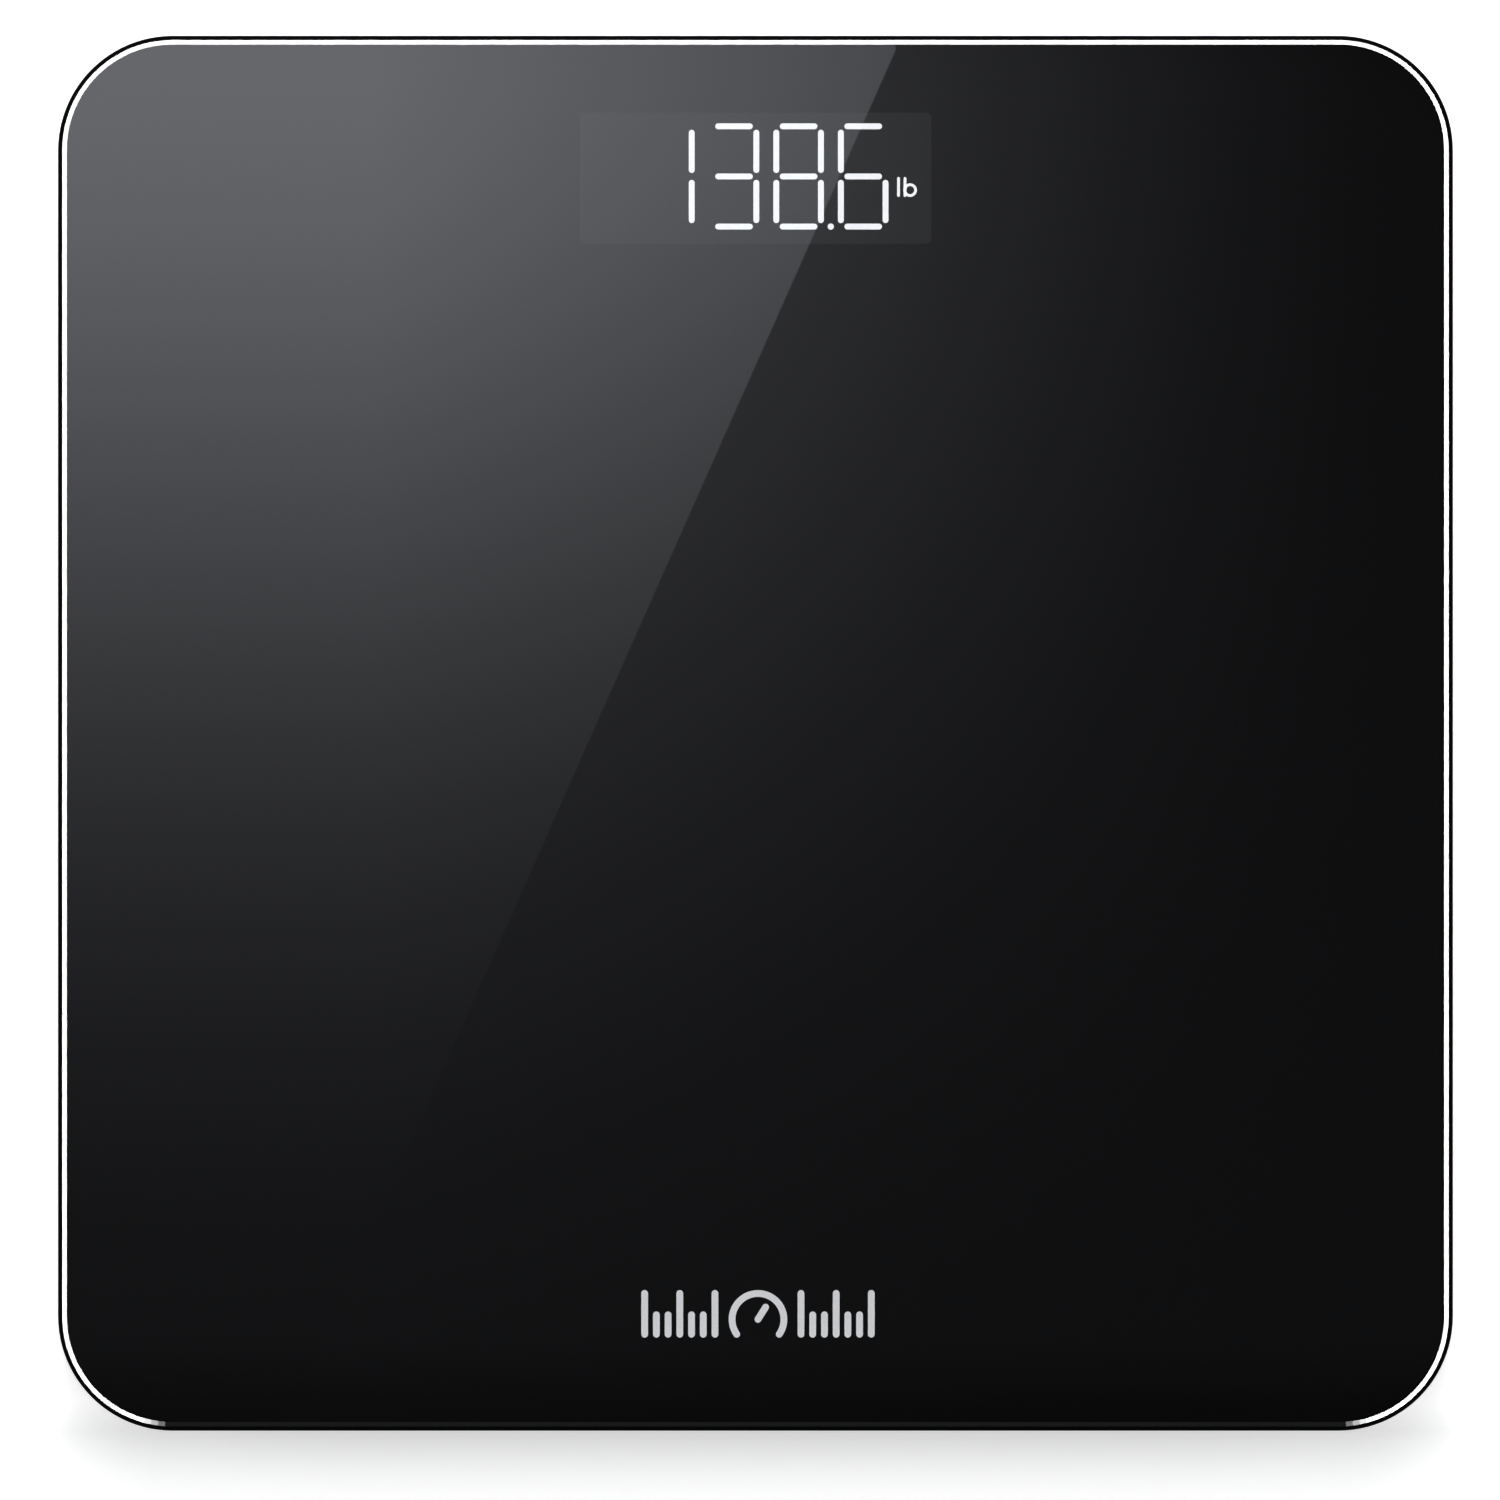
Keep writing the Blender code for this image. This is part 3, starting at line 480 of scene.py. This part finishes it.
def smoked_glass():
    """Toughened glass, smoked right through, that lets lamps through to what lies under it."""
    n = Nodes("smoked_glass")
    uneven = n.noise(0.03, 2.0)
    glass = n.add(
        "BsdfPrincipled",
        Base_Color=n.mix(
            uneven, (TINT**2 * 0.96, TINT**2, TINT**2 * 0.99), (TINT**2, TINT**2, TINT**2)
        ),
        Roughness=n.span(uneven, 0.45, 0.8, 0.0, 0.006),
        IOR=1.5,
        Transmission_Weight=1.0,
    )
    clear = n.add("BsdfTransparent", Color=(TINT * 0.96, TINT * 0.96, TINT * 0.96, 1))
    shadow = n.add("LightPath").outputs["Is Shadow Ray"]
    return n.finish(
        n.add("MixShader", Fac=shadow, in_1=glass.outputs[0], in_2=clear.outputs[0])
    )


def inner_face(name, level):
    """A face inside the glass or bonded to it, which mirrors nothing. The level is what it
    lets through."""
    n = Nodes(name)
    tone = n.mix(n.noise(0.01), (level * 0.97,) * 3, (level,) * 3)
    return n.finish(n.add("BsdfTransparent", Color=tone))


# The polished bevel: its insets from the outline, and how far it falls between them
BEVEL_OUT, BEVEL_IN, SEAM_FALL = 0.93 * MM, 1.89 * MM, 0.70 * MM


def build_glass():
    """The plate, its polished bevel and its outer edge, one inside the other. The edge's upper
    facet is near black and mirrors nothing: painted shade, over the real dark look of a glass
    edge on black print.
    """
    # near black with no reflection: painted shade for the outer line of the glass, partly the
    # real dark edge over the print
    painted_shade_finish = grained(
        "edge_with_painted_shade", (0.0026, 0.0029, 0.0030), (0.0042, 0.0046, 0.0047), (0.5, 0.6),
        0.2 * MM, 0.002 * MM, Specular_IOR_Level=0.0,
    )
    glass, bonded = smoked_glass(), inner_face("bonded_face", 1.0)
    inside = inner_face("depth_of_glass", 0.1)
    top, low = GLASS_TOP, GLASS_LOW.z
    plate = outline_solid("platform_glass", [(BEVEL_IN, top), (BEVEL_IN, low)], [2, 1, 0])
    place_piece(
        plate, "base", "toughened_glass", glass, bonded, inside, replaces=["glass_platform"]
    )
    bevel = outline_solid(
        "polished_bevel",
        [(BEVEL_IN, top), (BEVEL_OUT, top - SEAM_FALL), (BEVEL_OUT, low), (BEVEL_IN, low)],
        [0, 2, 0, 2],
        ring=True,
    )
    place_piece(bevel, "base", "toughened_glass", glass, bonded, inside)
    edge = outline_solid(
        "edge_with_painted_shade",
        [
            (BEVEL_OUT, top - SEAM_FALL),
            (0.06 * MM, top - 1.30 * MM),
            (0.01 * MM, top - 1.38 * MM),
            (0, top - 1.50 * MM),
            (0, low + 0.75 * MM),
            (0.04 * MM, low + 0.60 * MM),
            (0.64 * MM, low + 0.03 * MM),
            (0.74 * MM, low),
            (BEVEL_OUT, low),
        ],
        [2, 2, 0, 0, 0, 0, 0, 0, 1],
        ring=True,
    )
    # its upper facet carries the painted shade
    place_piece(edge, "base", "toughened_glass", glass, inside, painted_shade_finish)
    return bevel


# ---- Print, window, digits and pictogram

PRINT_TOP = GLASS_LOW.z - 0.06 * MM
PRINT_INSET = 0.95 * MM
WINDOW_SIZE = Vector((70.7, 26.4)) * MM
WINDOW_AT = Vector((0, 111.6)) * MM


def slot_outline(a, b, width, steps=8):
    """A straight bar from a to b with round ends."""
    a, b = Vector(a), Vector(b)
    heading = math.atan2(b.y - a.y, b.x - a.x)
    points = []
    for end, turn in ((b, -0.5), (a, 0.5)):
        for step in range(steps + 1):
            angle = heading + (turn + step / steps) * math.pi
            points.append(
                (end.x + width / 2 * math.cos(angle), end.y + width / 2 * math.sin(angle))
            )
    return points


def circle(centre, radius, steps=24):
    turn = [2 * math.pi * i / steps for i in range(steps)]
    return [(centre[0] + radius * math.cos(a), centre[1] + radius * math.sin(a)) for a in turn]


def window_film():
    """The window in the print, which the lamps behind it light very faintly."""
    n = Nodes("smoked_window")
    tone = n.mix(n.noise(0.5 * MM), (0.090, 0.092, 0.098), (0.110, 0.112, 0.120))
    shader = n.add(
        "BsdfPrincipled", Base_Color=tone, Roughness=0.6, Emission_Color=(0.92, 0.94, 1, 1),
        Emission_Strength=0.042, Specular_IOR_Level=0.0,
    )
    return n.finish(shader)


def build_print():
    """The black print, bonded to the glass, and the window in it."""
    black = grained(
        "black_print", (0.038, 0.040, 0.042), (0.048, 0.050, 0.053), (0.5, 0.6), 0.3 * MM,
        0.001 * MM, Specular_IOR_Level=0.0,
    )
    window = rounded_rectangle(WINDOW_SIZE, 1 * MM, WINDOW_AT)
    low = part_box("printed_film")[0].z
    film = flat_solid("print_layer", [outline(PRINT_INSET), window], low, PRINT_TOP)
    place_piece(film, "base", "black_print", black, replaces=["printed_film"])
    clear_of_it = Vector((0.04, 0.04)) * MM
    inner = rounded_rectangle(WINDOW_SIZE - clear_of_it, 1 * MM, WINDOW_AT)
    pane = flat_solid("window_pane", [inner], low, PRINT_TOP)
    place_piece(pane, "base", "smoked_window", window_film(), replaces=["display_window"])


# Which bars of a digit are lit: top, middle, bottom, upper and lower left, upper and lower
# right
LIT_BARS = {
    "1": (0, 0, 0, 0, 0, 1, 1),
    "3": (1, 1, 1, 0, 0, 1, 1),
    "6": (1, 1, 1, 1, 1, 0, 1),
    "8": (1, 1, 1, 1, 1, 1, 1),
}
READING = "1386"
DIGIT_PITCH = 12.99 * MM
LAST_DIGIT = Vector((21.66, 111.95)) * MM
BAR_WIDTH = 1.17 * MM
HALF_DIGIT = Vector((4.49, 10.08)) * MM
LEVEL_BAR, UPRIGHT_BAR = 3.78 * MM, 4.34 * MM  # half of the length over all
POINT_AT, POINT_RADIUS = Vector((15.14, 101.87)) * MM, 0.62 * MM
UNIT_STROKE = 0.56 * MM
UNIT_STEMS_X = (28.76 * MM, 30.06 * MM)
UNIT_LOW, UNIT_HIGH = 108.12 * MM, 111.55 * MM
BOWL_AT, BOWL_RADII = Vector((31.10, 109.20)) * MM, (1.36 * MM, 0.82 * MM)


def digit_bars(centre):
    """(start, end) of the centre line of each bar, without its round ends."""
    level, upright = LEVEL_BAR - BAR_WIDTH / 2, UPRIGHT_BAR - BAR_WIDTH / 2
    bars = [
        ((centre.x - level, centre.y + y), (centre.x + level, centre.y + y))
        for y in (HALF_DIGIT.y, 0, -HALF_DIGIT.y)
    ]
    for x in (-HALF_DIGIT.x, HALF_DIGIT.x):
        for y in (HALF_DIGIT.y / 2, -HALF_DIGIT.y / 2):
            middle = centre + Vector((x, y))
            bars.append(((middle.x, middle.y - upright), (middle.x, middle.y + upright)))
    return bars


def led_light():
    """The milky light of the lit bars, with faint unevenness."""
    n = Nodes("lit_bars")
    glow = n.ramp(
        n.noise(1.2 * MM, 1.0), [(0.35, (0.925, 0.935, 0.985)), (0.65, (0.97, 0.98, 1.0))]
    )
    shader = n.add(
        "BsdfPrincipled", Base_Color=(0.3, 0.3, 0.3, 1), Roughness=0.5, Emission_Color=glow,
        Emission_Strength=0.95 / (0.96 * TINT), Specular_IOR_Level=0.0,
    )
    return n.finish(shader)


def build_digits():
    """The lit bars, the decimal point and the unit mark, on top of the print."""
    light = led_light()
    loops = {}
    for place, digit in enumerate(READING):
        centre = LAST_DIGIT - Vector((DIGIT_PITCH * (len(READING) - 1 - place), 0))
        loops[f"digit_{place + 1}"] = [
            slot_outline(a, b, BAR_WIDTH)
            for lit, (a, b) in zip(LIT_BARS[digit], digit_bars(centre))
            if lit
        ]
    loops["decimal_point"] = [circle(POINT_AT, POINT_RADIUS)]
    for number, x in enumerate(UNIT_STEMS_X, 1):
        stem = slot_outline((x, UNIT_LOW), (x, UNIT_HIGH), UNIT_STROKE)
        loops[f"unit_stem_{number}"] = [stem]
    loops["unit_bowl"] = [circle(BOWL_AT, radius, 32) for radius in BOWL_RADII]
    low, high = PRINT_TOP + 0.005 * MM, PRINT_TOP + 0.045 * MM
    for name, outlines in loops.items():
        piece = flat_solid(name, outlines, low, high)
        place_piece(piece, "base", "milky_film", light)


def arc_band(centre, radius, width, start, end, steps=40):
    """The outline of a bent bar with round ends, from one angle in degrees to another."""
    start, end = math.radians(start), math.radians(end)

    def arc(middle, reach, a, b, count, skip=0):
        angles = [a + (b - a) * step / count for step in range(skip, count + 1 - skip)]
        return [
            (middle[0] + reach * math.cos(angle), middle[1] + reach * math.sin(angle))
            for angle in angles
        ]

    def cap(angle, turn):
        tip = (centre[0] + radius * math.cos(angle), centre[1] + radius * math.sin(angle))
        return arc(tip, width / 2, turn, turn + math.pi, 8, skip=1)

    outside = arc(centre, radius + width / 2, start, end, steps)
    inside = arc(centre, radius - width / 2, end, start, steps)
    return outside + cap(end, end) + inside + cap(start, start + math.pi)


MARK_AT = Vector((0.5, -116.4)) * MM
MARK_HALF = Vector((23.4, 4.8)) * MM
MARK_STROKE = 1.35 * MM
DIAL_RADIUS, DIAL_DROP = 5.2 * MM, 35  # the dial's ends dip below its hub by this angle
NEEDLE_LENGTH, NEEDLE_HEADING = 2.9 * MM, 58
TICKS, TICK_GAP, LONG_TICK, SHORT_TICK = 7, 2.35 * MM, 8.2 * MM, 3.9 * MM


def build_mark():
    """A generic dial between two rows of ruler ticks, printed on the face of the glass."""
    ink = grained(
        "mark_ink", (0.78, 0.79, 0.82), (0.87, 0.88, 0.90), (0.45, 0.6), 0.4 * MM, 0.002 * MM,
        Specular_IOR_Level=0.3,
    )
    low, high = GLASS_TOP, GLASS_TOP + 0.03 * MM
    floor_y = MARK_AT.y - MARK_HALF.y + MARK_STROKE / 2
    loops = {}
    hub = Vector((MARK_AT.x, floor_y + DIAL_RADIUS * math.sin(math.radians(DIAL_DROP))))
    loops["dial_arc"] = arc_band(hub, DIAL_RADIUS, MARK_STROKE, -DIAL_DROP, 180 + DIAL_DROP)
    heading = math.radians(NEEDLE_HEADING)
    far = hub + NEEDLE_LENGTH * Vector((math.cos(heading), math.sin(heading)))
    loops["dial_needle"] = slot_outline(hub, far, MARK_STROKE)
    for side in (-1, 1):
        for number in range(TICKS):
            x = MARK_AT.x + side * (MARK_HALF.x - MARK_STROKE / 2 - TICK_GAP * number)
            tall = LONG_TICK if number % 3 == 0 else SHORT_TICK
            name = f"tick_{'left' if side < 0 else 'right'}_{number + 1}"
            loops[name] = slot_outline((x, floor_y), (x, floor_y + tall), MARK_STROKE)
    for name, loop in loops.items():
        piece = flat_solid(name, [loop], low, high)
        place_piece(piece, "base", "milky_film", ink)


# ---- Underside

CORNERS = {
    "front_left": (-1, -1), "front_right": (1, -1), "back_left": (-1, 1), "back_right": (1, 1)
}


def turned(name, profile, centre, steps=96):
    """A solid of revolution about a vertical axis, from (radius, height) points in mm that
    start and end on the axis."""
    bm = bmesh.new()
    rings = []
    for radius, height in profile:
        if radius == 0:
            rings.append([bm.verts.new((centre[0], centre[1], height * MM))])
            continue
        turn = [2 * math.pi * i / steps for i in range(steps)]
        rings.append([
            bm.verts.new((
                centre[0] + radius * MM * math.cos(a), centre[1] + radius * MM * math.sin(a),
                height * MM,
            ))
            for a in turn
        ])
    for upper, lower in zip(rings, rings[1:]):
        for i in range(steps):
            corners = [upper[i % len(upper)], lower[i % len(lower)]]
            if len(lower) > 1:
                corners.append(lower[i - 1])
            if len(upper) > 1:
                corners.append(upper[i - 1])
            bm.faces.new(corners)
    bmesh.ops.recalc_face_normals(bm, faces=bm.faces)
    return smooth(mesh_piece(name, bm), 30)


# (radius, height) in mm, from the axis at the top to the axis at the bottom
PAD_PROFILE = [
    (0, 2.2), (18.3, 2.2), (18.5, 2.0), (18.5, 0.65), (18.35, 0.25), (17.9, 0.0), (15.0, 0.0),
    (14.8, 0.5), (13.6, 0.5), (13.4, 0.0), (10.2, 0.0), (10.0, 0.5), (8.8, 0.5), (8.6, 0.0),
    (4.2, 0.0), (3.8, 0.45), (0, 0.6),
]
CUP_PROFILE = [
    (0, 12.4), (1.8, 12.4), (1.8, 10.25), (6.2, 10.25), (7.6, 4.3), (19.2, 4.3), (19.6, 7.1),
    (23.1, 7.1), (23.1, 5.9), (21.0, 5.9), (21.0, 2.0), (20.8, 1.5), (20.4, 1.12),
    (20.1, 1.0), (19.0, 1.0), (18.8, 1.15), (18.8, 2.5), (0, 2.5),
]


def build_feet(plastic, rubber):
    for corner, (sx, sy) in CORNERS.items():
        pad_low, pad_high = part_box(f"foot_pad_{corner}")
        middle = (pad_low + pad_high) / 2
        pad = turned(f"grooved_pad_{corner}", PAD_PROFILE, middle)
        place_piece(
            pad, f"foot_{corner}", "foot_rubber", rubber, replaces=[f"foot_pad_{corner}"]
        )
        cup = turned(f"round_cup_{corner}", CUP_PROFILE, middle)
        place_piece(
            cup, f"foot_{corner}", "black_abs", plastic, replaces=[f"foot_cup_{corner}"]
        )


# The housing in mm: insets of its flange and wall, and heights
FLANGE_INSET, FLANGE_TOP, FLANGE_UNDER = 3, 17.28, 15.46
WALL_INSET, HOUSING_BOTTOM, BOTTOM_RADIUS = 12, 3.8, 3.0
SKIN_PROUD, SKIN_DEPTH = 0.04, 0.8
SKIN_FOOT = 16  # the inset where the skin ends, on the flat of the bottom


def build_skin(plastic):
    """A smooth outside for the wall and the flange of the housing, a hair proud of them. Its
    inside is buried in the wall."""
    out, into = FLANGE_INSET - SKIN_PROUD, FLANGE_INSET + SKIN_DEPTH
    outer = [(out, FLANGE_TOP), (out, FLANGE_UNDER)]
    outer += [(10.4, FLANGE_UNDER), (11.3, 15.33), (11.78, 14.95)]  # the fillet below it
    outer.append((WALL_INSET - SKIN_PROUD, 14.2))
    inner = [(into, FLANGE_TOP), (into, 16.2), (WALL_INSET + SKIN_DEPTH, 16.2)]
    for step in range(9):
        angle = math.radians(90 * step / 8)
        for path, grow in ((outer, SKIN_PROUD), (inner, -SKIN_DEPTH)):
            inset = (BOTTOM_RADIUS + grow) * math.cos(angle)
            drop = (BOTTOM_RADIUS + grow) * math.sin(angle)
            path.append((
                WALL_INSET + BOTTOM_RADIUS - inset, HOUSING_BOTTOM + BOTTOM_RADIUS - drop
            ))
    outer.append((SKIN_FOOT, HOUSING_BOTTOM - SKIN_PROUD))
    inner.append((SKIN_FOOT, HOUSING_BOTTOM + SKIN_DEPTH))
    levels = [(inset * MM, z * MM) for inset, z in outer + inner[::-1]]
    skin = outline_solid("housing_skin", levels, [0] * len(levels), ring=True)
    place_piece(smooth(skin), "base", "black_abs", plastic)


def build_door_grip(plastic):
    """Ridges for the thumb and a moulded arrow, on the outside of the battery door."""
    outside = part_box("battery_door")[0].z
    for number in range(5):
        y = (32.6 + 1.5 * number) * MM
        reach = (7.0 - 0.55 * number) * MM
        loop = slot_outline((-reach, y), (reach, y), 0.7 * MM)
        ridge = flat_solid(
            f"thumb_ridge_{number + 1}", [loop], outside - 0.35 * MM, outside + 0.05 * MM,
            0.1 * MM,
        )
        place_piece(smooth(ridge), "battery_door", "black_abs", plastic)
    arrow = [(-2.6 * MM, 45.2 * MM), (0, 42.0 * MM), (2.6 * MM, 45.2 * MM)]
    arrow = flat_solid(
        "moulded_arrow", [arrow], outside - 0.25 * MM, outside + 0.05 * MM, 0.08 * MM
    )
    place_piece(arrow, "battery_door", "black_abs", plastic)


def build_label_lines():
    """Plain ruled boxes on the blank label."""
    ink = grained(
        "label_ink", (0.05, 0.05, 0.055), (0.09, 0.09, 0.095), (0.4, 0.5), 0.3 * MM, 0.002 * MM
    )
    low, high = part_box("rating_label")
    middle = Vector(((low.x + high.x) / 2, (low.y + high.y) / 2))
    size = Vector((high.x - low.x, high.y - low.y))
    line = 0.35 * MM
    gap = Vector((2.4, 2.4)) * MM
    frame_size = size - gap
    loops = {
        "label_frame": [
            rounded_rectangle(frame_size, 1.2 * MM, middle),
            rounded_rectangle(frame_size - Vector((2, 2)) * line, 0.9 * MM, middle),
        ]
    }
    left, right = middle.x - frame_size.x / 2, middle.x + frame_size.x / 2
    for number, (row, start, end) in enumerate(
        ((0.27, 0.06, 0.94), (0.02, 0.06, 0.60), (-0.14, 0.06, 0.60), (-0.30, 0.06, 0.44)), 1
    ):
        y = middle.y + row * frame_size.y
        a = (left + start * frame_size.x, y)
        b = (left + end * frame_size.x, y)
        loops[f"label_rule_{number}"] = [slot_outline(a, b, line)]
    spot = (right - 10 * MM, middle.y - 4.2 * MM)
    loops["label_ring"] = [circle(spot, 5.2 * MM, 48), circle(spot, 4.7 * MM, 48)]
    for name, outlines in loops.items():
        piece = flat_solid(name, outlines, low.z - 0.012 * MM, low.z + 0.004 * MM)
        place_piece(piece, "base", "label_film", ink)


def cell_wrap(name, positive):
    """A printed sleeve: bare metal at both ends and a copper band by the positive one."""
    n = Nodes(name)
    along = n.math("MULTIPLY", n.add("SeparateXYZ", Vector=n.place()).outputs["X"], positive)
    where = n.span(along, -24 * MM, 24 * MM, 0, 1)
    metal, copper, sleeve = (0.62, 0.60, 0.57), (0.60, 0.28, 0.11), (0.012, 0.013, 0.016)
    bands = [(0, metal), (0.052, sleeve), (0.66, copper), (0.93, metal)]
    plain = n.ramp(where, bands, "CONSTANT")
    worn = n.mix(n.noise(1.5 * MM), (0.85, 0.85, 0.85), (1, 1, 1))
    tone = n.add("Mix", {"data_type": "RGBA", "blend_type": "MULTIPLY"})
    n.feed(tone, "in_0", 1.0)
    n.feed(tone, "in_6", plain)
    n.feed(tone, "in_7", worn)
    shiny = n.ramp(
        where, [(0, (1, 1, 1)), (0.052, (0, 0, 0)), (0.66, (0.7, 0.7, 0.7)), (0.93, (1, 1, 1))],
        "CONSTANT",
    )
    shader = n.add(
        "BsdfPrincipled", Base_Color=tone.outputs[2], Metallic=shiny,
        Roughness=n.span(n.noise(0.8 * MM), 0.3, 0.7, 0.22, 0.34),
    )
    return n.finish(shader)


# ---- Finishes of the CAD pieces that show or lie inside


def dress(material, *nodes):
    for name in nodes:
        data = NODES[name].data
        data.materials.clear()
        data.materials.append(material)
        smooth(NODES[name])


def dress_cad():
    each = lambda kind: [f"{kind}_{corner}" for corner in CORNERS]
    plastic = grained(
        "moulded_black", (0.010, 0.010, 0.011), (0.020, 0.020, 0.022), (0.38, 0.56), 0.35 * MM,
        0.02 * MM, Specular_IOR_Level=0.4,
    )
    dress(plastic, "base_housing", "battery_door", "unit_button")
    rubber = grained(
        "foot_rubber", (0.022, 0.022, 0.023), (0.048, 0.048, 0.050), (0.70, 0.88), 0.4 * MM,
        0.03 * MM,
    )
    build_skin(plastic)
    build_feet(plastic, rubber)
    build_door_grip(plastic)
    build_label_lines()
    dress(
        grained("foam_tape", (0.020, 0.020, 0.021), (0.045, 0.045, 0.046), (0.8, 0.95),
                0.3 * MM, 0.05 * MM),
        "bonding_tape",
    )
    dress(
        grained("label_film", (0.26, 0.27, 0.28), (0.32, 0.33, 0.34), (0.38, 0.52), 0.2 * MM,
                0.004 * MM, metallic=0.2),
        "rating_label",
    )
    dress(
        grained("stamped_steel", (0.46, 0.46, 0.45), (0.66, 0.66, 0.64), (0.26, 0.44),
                0.5 * MM, 0.006 * MM, metallic=1.0, stretch=(1, 12, 1)),
        *each("load_cell"),
    )
    dress(
        grained("white_silicone", (0.78, 0.78, 0.76), (0.88, 0.88, 0.86), (0.4, 0.6),
                1.0 * MM, 0.05 * MM),
        *each("gauge_seal"),
    )
    dress(
        grained("white_plastic", (0.74, 0.74, 0.72), (0.84, 0.84, 0.82), (0.35, 0.5),
                0.4 * MM, 0.01 * MM),
        *each("cell_carrier"), "display_reflector",
    )
    dress(
        grained("lead_jacket", (0.70, 0.70, 0.68), (0.82, 0.82, 0.80), (0.4, 0.55), 0.6 * MM,
                0.02 * MM),
        *each("sensor_lead"),
    )
    dress(cell_wrap("cell_wrap_right", 1.0), "battery_1", "battery_3")
    dress(cell_wrap("cell_wrap_left", -1.0), "battery_2")
    dress(
        grained("nickel", (0.58, 0.56, 0.52), (0.74, 0.72, 0.68), (0.18, 0.34), 0.4 * MM,
                0.006 * MM, metallic=1.0),
        "contact_positive", "contact_negative", "contact_bridge_left", "contact_bridge_right",
        "battery_spring_1", "battery_spring_2", "battery_spring_3", "button_switch",
        "clock_crystal", "capacitor", "board_screw_1", "board_screw_2", "board_screw_3",
        "board_screw_4",
    )
    dress(
        grained("wire_red", (0.42, 0.02, 0.02), (0.58, 0.04, 0.03), (0.35, 0.5), 0.6 * MM,
                0.01 * MM),
        "battery_lead_red",
    )
    dress(
        grained("wire_black", (0.015, 0.015, 0.016), (0.03, 0.03, 0.032), (0.35, 0.5),
                0.6 * MM, 0.01 * MM),
        "battery_lead_black",
    )
    dress(
        grained("chip_black", (0.015, 0.015, 0.016), (0.03, 0.03, 0.031), (0.5, 0.65),
                0.2 * MM, 0.01 * MM),
        "controller_chip", "converter_chip", "switch_plunger",
    )
    dress(
        grained("solder_mask", (0.01, 0.10, 0.05), (0.03, 0.20, 0.10), (0.25, 0.4), 1.5 * MM,
                0.01 * MM),
        "main_board",
    )
    dress(
        grained("milky_film", (0.86, 0.86, 0.88), (0.92, 0.92, 0.94), (0.4, 0.55), 0.5 * MM,
                0.004 * MM),
        "display_diffuser",
    )


bpy.context.scene.view_settings.view_transform = "Standard"
add_camera()
add_world()
add_floor()
add_lights()
add_card()
add_rim_light(build_glass())
build_print()
build_digits()
build_mark()
dress_cad()
